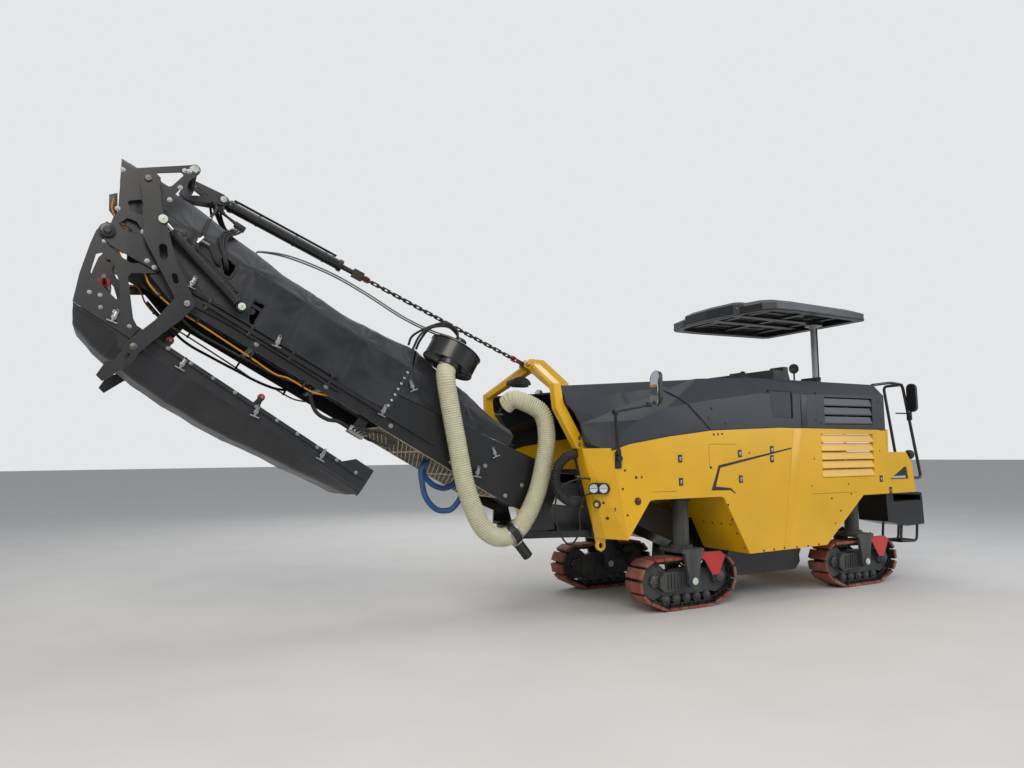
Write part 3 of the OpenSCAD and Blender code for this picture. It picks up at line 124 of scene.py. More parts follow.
def bumped(tree, height, strength, distance, normal=None):
    """A normal tilted by a height, over another normal if one is given."""
    links = {"Height": height} if normal is None else {"Height": height, "Normal": normal}
    return add(tree, "ShaderNodeBump", {"Strength": strength, "Distance": distance}, **links)


def rounded_edges(tree, radius):
    return add(tree, "ShaderNodeBevel", {"Radius": radius, "samples": 4})


def surface(tree, colour, roughness, values=None, **links):
    """The surface shader and the material's output."""
    shader = add(tree, "ShaderNodeBsdfPrincipled", values, Base_Color=colour, Roughness=roughness, **links)
    add(tree, "ShaderNodeOutputMaterial", Surface=shader)


def blank_material(name):
    made = bpy.data.materials.new(name)
    made.use_nodes = True
    made.node_tree.nodes.clear()
    return made, made.node_tree


# Finishes: each maker takes a blank tree, the Object coordinates and the colour
def enamel(tree, place, colour, dusty, roughness, coat, dust=0.25, edge=0.35, bump=0.04):
    """Sprayed enamel: the colour wanders a little, dust lies on what faces up, edges are rubbed paler."""
    rounded = rounded_edges(tree, 0.004)
    facing = add(tree, "ShaderNodeNewGeometry").outputs["Normal"]
    # Wear shows where the rounded normal leaves the face's own, in patches of 30 to 80 mm
    bend = add(tree, "ShaderNodeVectorMath", {"operation": "DOT_PRODUCT"}, i0=rounded,
               i1=facing).outputs["Value"]
    worn = times(tree, ranged(tree, bend, 0.995, 0.80), spread(tree, place, 24, 0.42, 0.62))
    worn = times(tree, worn, edge)
    # Dust settles on level faces and in streaks a hand wide
    level = ranged(tree, add(tree, "ShaderNodeSeparateXYZ", Vector=facing).outputs["Z"], -0.2, 1.0, 0.25)
    streaks = add(tree, "ShaderNodeMapping", {"Scale": (5, 5, 1.2)}, Vector=place)
    settled = times(tree, spread(tree, streaks, 2.2, 0.40, 0.70, 6), level)
    settled = times(tree, settled, dust)
    base = srgb(colour)
    tone = mix(tree, spread(tree, place, 1.4, 0.3, 0.7, 2), shade(base, 0.86), base)
    tone = mix(tree, settled, tone, srgb(dusty))
    tone = mix(tree, worn, tone, shade(base, 1.5, 0.10))
    # Orange peel of about 3 mm, as sprayed enamel dries
    lumps = bumped(tree, grain(tree, place, 320), bump, 0.001, rounded)
    surface(tree, tone, ranged(tree, settled, to_low=roughness, to_high=roughness + 0.35),
            {"Coat Weight": coat, "Coat Roughness": 0.12}, Normal=lumps)


def bare_metal(tree, place, colour, roughness, lengthwise=(260, 18), dirt="#2a2623", dirty=0.3,
               rounding=0.002):
    """Machined or worn steel: fine lines along the piece and dirt in patches."""
    across, along = lengthwise
    stretched = add(tree, "ShaderNodeMapping", {"Scale": (along, along, across)}, Vector=place)
    lines = grain(tree, stretched, 1.0, 3)
    share = times(tree, spread(tree, place, 9, 0.45, 0.7, 5), dirty)
    bump = bumped(tree, lines, 0.12, 0.0005, rounded_edges(tree, rounding))
    surface(tree, mix(tree, share, srgb(colour), srgb(dirt)),
            ranged(tree, lines, to_low=roughness * 0.7, to_high=roughness * 1.4),
            Metallic=add(tree, "ShaderNodeMapRange", {"To Min": 1.0, "To Max": 0.35}, Value=share),
            Normal=bump)


def moulded(tree, place, colour, roughness, grit=900, bump=0.15, dust="#8d877c", dusty=0.15, mottled=0.25):
    """Rubber or moulded plastic: a fine grit on the skin, dust in patches and a mottled tone."""
    base = srgb(colour)
    mottle = spread(tree, place, 14, 0.35, 0.65, 5)
    tone = mix(tree, mottle, shade(base, 1 - mottled), base)
    tone = mix(tree, times(tree, spread(tree, place, 5, 0.42, 0.72, 7), dusty), tone, srgb(dust))
    bumps = bumped(tree, grain(tree, place, grit), bump, 0.0006, rounded_edges(tree, 0.003))
    surface(tree, tone, ranged(tree, mottle, to_low=roughness, to_high=roughness + 0.2), Normal=bumps)


def tarpaulin(tree, place, colour):
    """PVC-coated woven polyester: a weave under a soft gloss, creased and dusty."""
    # Threads of 1.6 mm are drawn at 4 mm, coarse enough to show
    warp, weft = (add(tree, "ShaderNodeTexWave", {"Scale": 125, "bands_direction": way, "Distortion": 0.3},
                      Vector=place).outputs["Fac"] for way in "XZ")
    creases = add(tree, "ShaderNodeTexNoise",
                  {"Scale": 5.5, "Detail": 7, "Roughness": 0.62, "Distortion": 0.8},
                  Vector=place)
    base = srgb(colour)
    cloud = spread(tree, place, 3.2, 0.35, 0.70, 6)
    weave = bumped(tree, times(tree, warp, weft), 0.10, 0.0006)
    surface(tree, mix(tree, cloud, base, shade(base, 1.9, 0.006)),
            ranged(tree, cloud, to_low=0.34, to_high=0.52),
            {"Sheen Weight": 0.08}, Normal=bumped(tree, creases, 0.35, 0.012, weave))


def clear(tree, place, colour, roughness, see_through, ior=1.5):
    """Glass or polycarbonate, with a faint film of dust in its roughness."""
    film = spread(tree, place, 7, 0.4, 0.75, 6)
    base = srgb(colour)
    surface(tree, mix(tree, film, base, shade(base, 1.2, 0.01)),
            ranged(tree, film, to_low=roughness, to_high=roughness + 0.10),
            {"Transmission Weight": see_through, "IOR": ior})


# Each finish: its slot, its maker with the colour and what differs, and the CAD nodes that carry it
FINISHES = {
    "signal_yellow_enamel": (
        "yellow_paint", enamel, ("#e6b000", "#b59a62", 0.34, 0.22, 0.10, 0.20), {},
        "bay_walls side_panel_left side_panel_right front_corner_panels tail_panel side_grilles mast "
        "lashing_eyes"),
    "anthracite_enamel": (
        "dark_paint", enamel, ("#22262c", "#6f6d68", 0.44, 0.10, 0.05, 0.12), {}, "hood_front hood_rear"),
    "dark_frame_enamel": (
        "dark_paint", enamel, ("#1d1f23", "#6a655c", 0.36, 0.20, 0.16, 0.22), {},
        "chassis_frame slewing_shelf tip_frame fold_frame fold_lever fold_link slew_turret"),
    "black_enamel": (
        "black_paint", enamel, ("#121316", "#5c574e", 0.36, 0.20, 0.14, 0.20), {},
        "canopy_roof conveyor_rollers hood_grilles handrails rear_steps mirrors conveyor_frame fan_housing "
        "drum_housing edge_plates collecting_conveyor operator_floor fold_cylinder_barrels "
        "luff_cylinder_barrel"),
    "crawler_enamel": (
        "dark_paint", enamel, ("#33383b", "#8a7d6a", 0.50, 0.05, 0.55, 0.30), {},
        " ".join("leg_" + c + " track_frame_" + c for c in CRAWLERS)),
    "grey_enamel": ("grey_paint", enamel, ("#b3b8b9", "#8f8b82", 0.32, 0.35, 0.15, 0.15), {}, "canopy_post"),
    "signal_red_enamel": ("red_paint", enamel, ("#c81414", "#8f6f60", 0.30, 0.5, 0.12, 0.15), {},
                          "fold_rollers"),
    "pin_cap_enamel": ("grey_paint", enamel, ("#c9d6c4", "#8f8b82", 0.45, 0.1, 0.2, 0.2), {}, ""),
    "cast_iron_paint": ("engine_iron", enamel, ("#4a4c4f", "#6d675d", 0.55, 0.0, 0.3, 0.2, 0.25), {},
                        "engine_block"),
    "conveyor_tarpaulin": ("cover_fabric", tarpaulin, ("#15171c",), {},
                           "conveyor_cover tent_cover fold_cover"),
    "seam_tape": ("cover_fabric", tarpaulin, ("#1b1d22",), {}, ""),
    "conveyor_rubber": ("belt_rubber", moulded, ("#161616", 0.72), {"dusty": 0.14},
                        "conveyor_belt fold_belt"),
    "hose_rubber": ("belt_rubber", moulded, ("#141414", 0.55), {"dusty": 0.08}, ""),
    "cable_yellow_plastic": ("pale_plastic", moulded, ("#d08a12", 0.5), {"dusty": 0.1}, ""),
    "blue_hose_plastic": ("pale_plastic", moulded, ("#1c4f86", 0.42), {"dusty": 0.1}, ""),
    "grey_hose_plastic": ("pale_plastic", moulded, ("#6f7473", 0.45), {"dusty": 0.1}, ""),
    "track_pad_polyurethane": (
        "track_pads", moulded, ("#96483c", 0.62, 500, 0.4, "#9a8672", 0.55, 0.4), {},
        " ".join("track_" + c for c in CRAWLERS)),
    "hose_polyurethane": ("hose_plastic", moulded, ("#c6c3a6", 0.38, 300, 0.05), {"mottled": 0.12},
                          "suction_hose"),
    "console_plastic": (
        "pale_plastic", moulded, ("#2c2f33", 0.5), {"dusty": 0.1, "mottled": 0.08}, "control_consoles"),
    "black_plastic": ("belt_rubber", moulded, ("#17181a", 0.42), {"dusty": 0.08, "mottled": 0.15},
                      "head_lamps"),
    "seat_vinyl": ("belt_rubber", moulded, ("#191a1b", 0.48, 450, 0.3), {"dusty": 0.08}, "operator_seats"),
    "chain_steel": ("chain_steel", bare_metal, ("#4b4744", 0.5), {"dirt": "#1e1a17", "dirty": 0.7},
                    "luff_rod_and_chain"),
    "zinc_steel": ("worn_steel", bare_metal, ("#a9abab", 0.35), {"dirty": 0.4}, ""),
    "rod_chrome": ("rod_chrome", bare_metal, ("#d4d6d8", 0.10, (60, 12)), {"dirty": 0.08},
                   "fold_cylinder_rods"),
    "worn_steel": ("worn_steel", bare_metal, ("#6f6a64", 0.45), {"dirty": 0.5}, "milling_drum"),
    "mesh_steel": ("worn_steel", bare_metal, ("#b9ac96", 0.5), {"dirt": "#5c4936", "dirty": 0.5},
                   "mesh_guard"),
    "mirror_silver": ("rod_chrome", bare_metal, ("#e8eaec", 0.03, (2, 2)),
                      {"dirty": 0.03, "rounding": 0.0005}, ""),
    "tinted_glass": ("dark_glass", clear, ("#0b0e10", 0.05, 0.10, 1.3), {}, "side_windows"),
    "lamp_glass": ("lamp_glass", clear, ("#f4f7fa", 0.02, 0.92), {}, ""),
    "red_lens": ("lamp_glass", clear, ("#8c1010", 0.08, 0.4), {}, ""),
}
M = {}
for finish, (_, maker, look, differs, cad_nodes) in FINISHES.items():
    M[finish], tree = blank_material(finish)
    maker(tree, add(tree, "ShaderNodeTexCoord").outputs["Object"], *look, **differs)
    for n in cad_nodes.split():
        nodes[n].data.materials.clear()
        nodes[n].data.materials.append(M[finish])


# Shapes, drawn in millimetres
def settled_mesh(name, bm, sharp=35):
    """A mesh from a bmesh, smooth apart from its sharp edges."""
    mesh = bpy.data.meshes.new(name)
    bm.to_mesh(mesh)
    bm.free()
    smooth(mesh, sharp)
    return mesh


def smooth(mesh, sharp=None):
    for f in mesh.polygons:
        f.use_smooth = True
    if sharp:
        mesh.set_sharp_from_angle(angle=math.radians(sharp))


def placed(name, mesh, body):
    """An object that rides on a body."""
    obj = bpy.data.objects.new(name, mesh)
    scene.collection.objects.link(obj)
    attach(obj, body)
    return obj


def piece(name, bm, finish, body, place=None, sharp=35):
    """Turns a bmesh drawn in millimetres into a finished piece that rides on a body."""
    bmesh.ops.remove_doubles(bm, verts=bm.verts, dist=0.01)
    bmesh.ops.recalc_face_normals(bm, faces=bm.faces)
    bm.transform(MACHINE @ drawn_in(body, place))
    mesh = settled_mesh(name, bm, sharp)
    mesh.materials.append(M[finish])
    return placed(name, mesh, body)


kits = {}


def kit(name, finish, body="root", place=None):
    """The mesh that gathers the small shapes of one name, finish and body."""
    key = (name, finish, body)
    if key not in kits:
        kits[key] = (bmesh.new(), drawn_in(body, place))
    return kits[key][0]


def prism(bm, outline, y0, y1, bevel=0.0):
    """A plate from an outline of x and z points, between two y values."""
    a = [bm.verts.new((x, y0, z)) for x, z in outline]
    b = [bm.verts.new((x, y1, z)) for x, z in outline]
    n = len(outline)
    faces = [bm.faces.new(a), bm.faces.new(b[::-1])]
    faces += [bm.faces.new((a[i], b[i], b[(i + 1) % n], a[(i + 1) % n])) for i in range(n)]
    bmesh.ops.recalc_face_normals(bm, faces=faces)
    if bevel:
        edges = {e for f in faces for e in f.edges}
        bmesh.ops.bevel(bm, geom=list(edges), offset=bevel, segments=2, profile=0.6, affect="EDGES")


def box(bm, low, high, bevel=0.0):
    prism(bm, [(low[0], low[2]), (high[0], low[2]), (high[0], high[2]), (low[0], high[2])], low[1], high[1],
          bevel)


def circle(count, radius, x=0.0, z=0.0):
    """Points evenly round a centre, as pairs."""
    turns = (2 * math.pi * k / count for k in range(count))
    return [(x + radius * math.cos(t), z + radius * math.sin(t)) for t in turns]


def close_sides(bm, rings):
    """Faces between rings of as many points each."""
    for a, b in zip(rings, rings[1:]):
        for k in range(len(a)):
            j = (k + 1) % len(a)
            bm.faces.new((a[k], a[j], b[j], b[k]))


def turned(bm, profile, origin, axis=(0, 0, 1), sides=24):
    """A turned piece: its profile's rows are radius and height along the axis."""
    w = Vector(axis).normalized()
    u = w.orthogonal().normalized()
    v = w.cross(u)
    rings = []
    for r, h in profile:
        centre = Vector(origin) + w * h
        if r <= 1e-6:
            rings.append([bm.verts.new(centre)])
            continue
        rings.append([bm.verts.new(centre + (u * a + v * b) * r) for a, b in circle(sides, 1)])
    for low, high in zip(rings, rings[1:]):
        for k in range(sides):
            j = (k + 1) % sides
            loop = [low[k % len(low)], low[j % len(low)], high[j % len(high)], high[k % len(high)]]
            loop = [p for i, p in enumerate(loop) if p not in loop[:i]]
            if len(loop) > 2:
                bm.faces.new(loop)
    for ring in (rings[0], rings[-1]):
        if len(ring) > 2:
            bm.faces.new(ring)


def band(inner, outer, start, wide):
    """The profile of a closed ring from start along its axis."""
    return [(inner, start), (outer, start), (outer, start + wide), (inner, start + wide), (inner, start)]


def rod(bm, a, b, r, sides=16):
    a, b = Vector(a), Vector(b)
    turned(bm, [(r, 0), (r, (b - a).length)], a, b - a, sides)


def smooth_path(points, count):
    """A Catmull-Rom curve through the points."""
    p = [Vector(q) for q in points]
    p = [2 * p[0] - p[1]] + p + [2 * p[-1] - p[-2]]
    out = []
    spans = len(p) - 3
    for k in range(count):
        t = k / (count - 1) * spans
        i = min(int(t), spans - 1)
        s = t - i
        a, b, c, d = p[i:i + 4]
        out.append(0.5 * (2 * b + (c - a) * s + (2 * a - 5 * b + 4 * c - d) * s * s
                          + (3 * b - a - 3 * c + d) * s ** 3))
    return out


def tube(bm, path, radius, sides=12):
    """A closed tube along a path."""
    path = [Vector(p) for p in path]
    last = len(path) - 1
    side = None
    rings = []
    for i, p in enumerate(path):
        along = (path[min(i + 1, last)] - path[max(i - 1, 0)]).normalized()
        side = along.orthogonal() if side is None else side - along * side.dot(along)
        side.normalize()
        up = along.cross(side)
        rings.append([bm.verts.new(p + (side * a + up * b) * radius) for a, b in circle(sides, 1)])
    close_sides(bm, rings)
    bm.faces.new(rings[0])
    bm.faces.new(rings[-1])


def hosed(bm, points, radius, sides=10, steps=5):
    """A hose or cable on a smooth curve through its points."""
    tube(bm, smooth_path(points, steps * len(points)), radius, sides)


# The same shapes on both sides of the machine, given for the left
def across(p, s):
    """A point or direction of the left side taken to the side s."""
    return (p[0], s * p[1], p[2])


def pair(bm, outline, y0, y1, bevel=0.0):
    for s in SIDES:
        prism(bm, outline, s * y0, s * y1, bevel)


def pair_box(bm, low, high, bevel=0.0):
    for s in SIDES:
        box(bm, across(low, s), across(high, s), bevel)


def pair_turned(bm, profile, at, axis=(0, 1, 0), sides=24):
    for s in SIDES:
        turned(bm, profile, across(at, s), across(axis, s), sides)


def pair_cap(bm, at, y, radius, height):
    """Domed caps on a pin's ends, at a point of x and z."""
    profile = [(0, 0), (radius, 0), (radius, height * 0.6), (radius * 0.82, height), (0, height * 1.05)]
    pair_turned(bm, profile, (at[0], y, at[1]))


def pair_rod(bm, a, b, r, sides=16):
    for s in SIDES:
        rod(bm, across(a, s), across(b, s), r, sides)


def pair_hose(bm, points, radius, sides=10, steps=5):
    for s in SIDES:
        hosed(bm, [across(p, s) for p in points], radius, sides, steps)


def side_rows(points, y):
    """Rows for bolts at x and z points of both sides, facing away from the middle plane."""
    return [((x, s * y, z), (0, s, 0)) for s in SIDES for x, z in points]


def grown_outline(outline, by):
    """The outline moved away from its centre by a distance."""
    centre = sum((Vector(p) for p in outline), Vector((0, 0))) / len(outline)
    return [tuple(centre + (Vector(p) - centre) * (1 + by / (Vector(p) - centre).length)) for p in outline]


def pair_rim(bm, inner, outer, y0, y1):
    """Flat rings between two outlines of x and z points, from y0 to y1."""
    for s in SIDES:
        rings = [[bm.verts.new((x, s * y, z)) for x, z in outline]
                 for outline, y in ((inner, y0), (outer, y0), (outer, y1), (inner, y1))]
        close_sides(bm, rings + rings[:1])


def ribbon(points, widths):
    """The outline of a band along a line of x and z points, with its width at each."""
    points = [Vector(p) for p in points]
    left, right = [], []
    for i, (p, w) in enumerate(zip(points, widths)):
        before = (p - points[i - 1]).normalized() if i else (points[1] - p).normalized()
        after = (points[i + 1] - p).normalized() if i < len(points) - 1 else before
        mitre = Vector((-(before + after).y, (before + after).x)).normalized()
        reach = w / 2 / max(0.4, mitre.dot(Vector((-before.y, before.x))))
        left.append(tuple(p + mitre * reach))
        right.append(tuple(p - mitre * reach))
    return left + right[::-1]


# Camera, from the solve on the photograph
PHOTO_WIDTH, FOCAL_PX, SENSOR = 1024, 745.788, 36
CAMERA_AT = Vector((6.833 - 2.295, 7.131, 1.651))
yaw, pitch, roll = (math.radians(a) for a in (28.077, 5.383, -0.59))
ahead = Vector((-math.sin(yaw), -math.cos(yaw), 0))
right = Vector((-math.cos(yaw), math.sin(yaw), 0))
up = Vector((0, 0, 1))
look = ahead * math.cos(pitch) + up * math.sin(pitch)
top = up * math.cos(pitch) - ahead * math.sin(pitch)
right, top = right * math.cos(roll) + top * math.sin(roll), top * math.cos(roll) - right * math.sin(roll)
camera_data = bpy.data.cameras.new("camera")
camera_data.sensor_width = SENSOR
camera_data.lens = FOCAL_PX / PHOTO_WIDTH * SENSOR
camera_data.clip_end = 500
camera = bpy.data.objects.new("camera", camera_data)
camera.matrix_world = Matrix([*zip(right, top, -look, CAMERA_AT), (0, 0, 0, 1)])
scene.collection.objects.link(camera)
scene.camera = camera
scene.view_settings.view_transform = "Standard"


def free_cord(name, points, thick, finish, body):
    """A free hose or cable that leaves the machine and goes back in."""
    path = smooth_path([drawn_in(body, None) @ Vector(p) for p in points], 60)
    bm = bmesh.new()
    tube(bm, path, thick / 2, 14)
    obj = piece(name, bm, finish, body, HERE)


# Two hose loops under the conveyor and the cable that hangs below the front corner
OUTER_LOOP = [(1240, -160), (1264, -258), (1195, -363), (1086, -473), (938, -521), (830, -482), (779, -422),
              (760, -300), (790, -160)]
INNER_LOOP = [(1262, -160), (1204, -270), (1068, -318), (949, -300), (880, -240), (850, -160)]
for name, y, line in (("blue_hose_loop", 250, OUTER_LOOP), ("blue_hose_inner_loop", 180, INNER_LOOP)):
    free_cord(name, [(x, y, z) for x, z in line], 56, "blue_hose_plastic", "conveyor")
CABLE = [(2600, 903, 1262), (2680, 850, 1220), (2712, 805, 1050), (2708, 800, 886), (2799, 800, 765),
         (2885, 800, 792),
         (2977, 800, 965), (2985, 800, 1180), (2920, 820, 1330), (2760, 870, 1400), (2641, 904, 1400)]
free_cord("front_cable_loop", CABLE, 18, "hose_rubber", "root")


# Light and floor
def lamp(name, at, aim, size, watts, colour="#ffffff"):
    data = bpy.data.lights.new(name, "AREA")
    data.shape, data.size, data.energy, data.color = "DISK", size, watts, srgb(colour)[:3]
    obj = bpy.data.objects.new(name, data)
    obj.location = at
    obj.rotation_euler = (Vector(aim) - Vector(at)).to_track_quat("-Z", "Y").to_euler()
    scene.collection.objects.link(obj)


lamp("key_light", (7, 9, 9), (0, 0, 1.5), 7, 820, "#fff8ee")
lamp("fill_light", (-9, 8, 6), (-1, 0, 1.2), 8, 400, "#eef4ff")
lamp("far_light", (-3, -10, 8), (0, 0, 1.5), 8, 320)
lamp("top_light", (0, 0, 12), (0, 0, 0), 10, 340)

world = bpy.data.worlds.new("studio")
scene.world = world
world.use_nodes = True
sky = world.node_tree
sky.nodes.clear()
seen = add(sky, "ShaderNodeLightPath")
shown = add(sky, "ShaderNodeMath", {"operation": "MAXIMUM"}, i0=seen.outputs["Is Camera Ray"],
            i1=seen.outputs["Is Transmission Ray"])
lighting = add(sky, "ShaderNodeBackground", {"Color": srgb("#e6ebf2"), "Strength": 0.50})
backdrop = add(sky, "ShaderNodeBackground", {"Color": srgb("#e4e6e8"), "Strength": 1.0})
mixed = add(sky, "ShaderNodeMixShader", i0=shown, i1=lighting, i2=backdrop)
add(sky, "ShaderNodeOutputWorld", Surface=mixed)

FLOOR_HALF = 120
floor_mesh = bpy.data.meshes.new("floor")
floor_mesh.from_pydata([(x * FLOOR_HALF, y * FLOOR_HALF, 0) for x,
                        y in ((-1, -1), (1, -1), (1, 1), (-1, 1))], [],
                       [(0, 1, 2, 3)])
floor = bpy.data.objects.new("floor", floor_mesh)
scene.collection.objects.link(floor)
floor_paint, tree = blank_material("studio_floor")
patches = spread(tree, add(tree, "ShaderNodeTexCoord").outputs["Object"], 1.1, 0.35, 0.65, 6)
matt = add(tree, "ShaderNodeBsdfPrincipled", {"Roughness": 0.8},
           Base_Color=mix(tree, patches, srgb("#cfcdca"), srgb("#d3d1ce")))
add(tree, "ShaderNodeOutputMaterial", Surface=matt)
floor_mesh.materials.append(floor_paint)


# Geometry node trees
def new_tree(name, inputs):
    """A geometry tree with a mesh in and out and named inputs, each row name, socket type, value."""
    tree = bpy.data.node_groups.new(name, "GeometryNodeTree")
    tree.interface.new_socket("Geometry", in_out="INPUT", socket_type="NodeSocketGeometry")
    for label, kind, value in inputs + [("Finish", "Material", None)]:
        socket = tree.interface.new_socket(label, in_out="INPUT", socket_type="NodeSocket" + kind)
        if value is not None:
            socket.default_value = value
    tree.interface.new_socket("Geometry", in_out="OUTPUT", socket_type="NodeSocketGeometry")
    return tree, tree.nodes.new("NodeGroupInput").outputs


def tree_end(tree, given, made):
    """Makes the copies real, gives them the tree's finish and hands them out."""
    real = add(tree, "GeometryNodeRealizeInstances", Geometry=made)
    painted = add(tree, "GeometryNodeSetMaterial", Geometry=real, Material=given["Finish"])
    add(tree, "NodeGroupOutput", i0=painted)
    return tree


def grown(name, seed_mesh, tree, values, finish, body, sharp=35):
    """Runs a tree on a seed mesh and keeps the result as a plain mesh riding on a body."""
    seed = bpy.data.objects.new(name + "_seed", seed_mesh)
    scene.collection.objects.link(seed)
    run = seed.modifiers.new("grow", "NODES")
    run.node_group = tree
    values["Finish"] = M[finish]
    for item in tree.interface.items_tree:
        if item.in_out == "INPUT" and item.name in values:
            run[item.identifier] = values[item.name]
    bpy.context.view_layer.update()
    shape = bpy.data.meshes.new_from_object(seed.evaluated_get(bpy.context.evaluated_depsgraph_get()))
    bpy.data.objects.remove(seed)
    shape.name = name
    smooth(shape, sharp)
    return placed(name, shape, body)


def seed_points(name, points, place, edges=()):
    mesh = bpy.data.meshes.new(name)
    mesh.from_pydata([MACHINE @ place @ Vector(p) for p in points], edges, [])
    return mesh


def point_vectors(mesh, label, vectors):
    rows = mesh.attributes.new(label, "FLOAT_VECTOR", "POINT")
    for row, vector in zip(rows.data, vectors):
        row.vector = vector


def bolt_tree():
    """Hexagon bolt heads on washers, one on each point, standing along the point's normal."""
    tree, given = new_tree("hexagon_bolts",
                           [("Across Corners", "Float", 0.024), ("Head Height", "Float", 0.010)])
    wide, high = given["Across Corners"], given["Head Height"]
    head = add(tree, "GeometryNodeMeshCylinder", {"Vertices": 6}, Radius=times(tree, wide, 0.5), Depth=high)
    washer = add(tree, "GeometryNodeMeshCylinder", {"Vertices": 12}, Radius=times(tree, wide, 0.85),
                 Depth=times(tree, high, 0.3))
    lift = add(tree, "ShaderNodeCombineXYZ", Z=high)
    lift = add(tree, "ShaderNodeVectorMath", {"operation": "SCALE", "Scale": 0.5}, i0=lift)
    raised = add(tree, "GeometryNodeTransform", Geometry=head, Translation=lift)
    bolt = add(tree, "GeometryNodeJoinGeometry", i0=raised)
    tree.links.new(washer.outputs["Mesh"], bolt.inputs[0])
    out = add(tree, "GeometryNodeInputNamedAttribute", {"data_type": "FLOAT_VECTOR", "Name": "out"})
    turn = add(tree, "FunctionNodeAlignRotationToVector", {"axis": "Z"}, Vector=out)
    copies = add(tree, "GeometryNodeInstanceOnPoints", Points=given["Geometry"], Instance=bolt, Rotation=turn)
    return tree_end(tree, given, copies)


def hose_tree():
    """A corrugated hose: the path is resampled finely and its radius rises and falls once a rib."""
    tree, given = new_tree("corrugated_hose", [("Radius", "Float", 0.09), ("Rib Pitch", "Float", 0.02),
                                               ("Rib Depth", "Float", 0.006)])
    pitch = given["Rib Pitch"]
    curve = add(tree, "GeometryNodeMeshToCurve", Mesh=given["Geometry"])
    step = add(tree, "ShaderNodeMath", {"operation": "DIVIDE", 1: 6.0}, i0=pitch)
    fine = add(tree, "GeometryNodeResampleCurve", {"mode": "LENGTH"}, Curve=curve, Length=step)
    along = add(tree, "GeometryNodeSplineParameter").outputs["Length"]
    turns = add(tree, "ShaderNodeMath", {"operation": "DIVIDE"}, i0=along, i1=pitch)
    wave = add(tree, "ShaderNodeMath", {"operation": "SINE"}, i0=times(tree, turns, 2 * math.pi))
    depth = times(tree, times(tree, wave, given["Rib Depth"]), 0.5)
    radius = add(tree, "ShaderNodeMath", {"operation": "ADD"}, i0=depth, i1=given["Radius"])
    sized = add(tree, "GeometryNodeSetCurveRadius", Curve=fine, Radius=radius)
    ring = add(tree, "GeometryNodeCurvePrimitiveCircle", {"Resolution": 28, "Radius": 1.0})
    skin = add(tree, "GeometryNodeCurveToMesh", {"Fill Caps": True}, Curve=sized, Profile_Curve=ring,
               Scale=radius)
    return tree_end(tree, given, skin)


def repeat_tree():
    """Copies of one object on every point, each turned by the point's own angles."""
    tree, given = new_tree("repeated_piece", [("Piece", "Object", None)])
    whole = add(tree, "GeometryNodeObjectInfo", {"As Instance": True},
                Object=given["Piece"]).outputs["Geometry"]
    angles = add(tree, "GeometryNodeInputNamedAttribute", {"data_type": "FLOAT_VECTOR", "Name": "turn"})
    turn = add(tree, "FunctionNodeEulerToRotation", Euler=angles)
    copies = add(tree, "GeometryNodeInstanceOnPoints", Points=given["Geometry"], Instance=whole,
                 Rotation=turn)
    return tree_end(tree, given, copies)


BOLTS, HOSE, REPEAT = bolt_tree(), hose_tree(), repeat_tree()


def bolts(name, rows, finish, body, wide=24, height=10):
    """Bolt heads at rows of a point and its outward direction."""
    place = drawn_in(body, None)
    mesh = seed_points(name, [p for p, _ in rows], place)
    point_vectors(mesh, "out", [place.to_3x3() @ Vector(d) for _, d in rows])
    return grown(name, mesh, BOLTS, {"Across Corners": wide / 1000, "Head Height": height / 1000}, finish,
                 body)


def corrugated(name, path, radius, pitch, depth, finish, body, place=None):
    mesh = seed_points(name, path, drawn_in(body, place), [(i, i + 1) for i in range(len(path) - 1)])
    sizes = {"Radius": radius / 1000, "Rib Pitch": pitch / 1000, "Rib Depth": depth / 1000}
    return grown(name, mesh, HOSE, sizes, finish, body, 80)


def repeated(name, bm, rows, finish, body):
    """Copies a small bmesh, drawn round its own origin, to rows of a point and an Euler turn."""
    bmesh.ops.recalc_face_normals(bm, faces=bm.faces)
    bm.transform(Matrix.Scale(0.001, 4))
    one = bpy.data.objects.new(name + "_one", settled_mesh(name + "_one", bm, None))
    scene.collection.objects.link(one)
    place = drawn_in(body, None)
    mesh = seed_points(name, [p for p, _ in rows], place)
    turns = [(place.to_3x3() @ Euler(angles).to_matrix()).to_euler() for _, angles in rows]
    point_vectors(mesh, "turn", turns)
    made = grown(name, mesh, REPEAT, {"Piece": one}, finish, body)
    bpy.data.objects.remove(one)
    return made


# Crawlers
TRACK_L, TRACK_H, WHEEL_R, SHOE_H, SHOE_W, SHOES = 1330, 550, 195, 45, 260, 24
WHEELS = [(TRACK_L / 2 - WHEEL_R - SHOE_H, TRACK_H - WHEEL_R - SHOE_H, WHEEL_R),
          (-TRACK_L / 2 + WHEEL_R + SHOE_H, TRACK_H - WHEEL_R - SHOE_H, WHEEL_R),
          (-300, SHOE_H + 60, 60), (300, SHOE_H + 60, 60)]


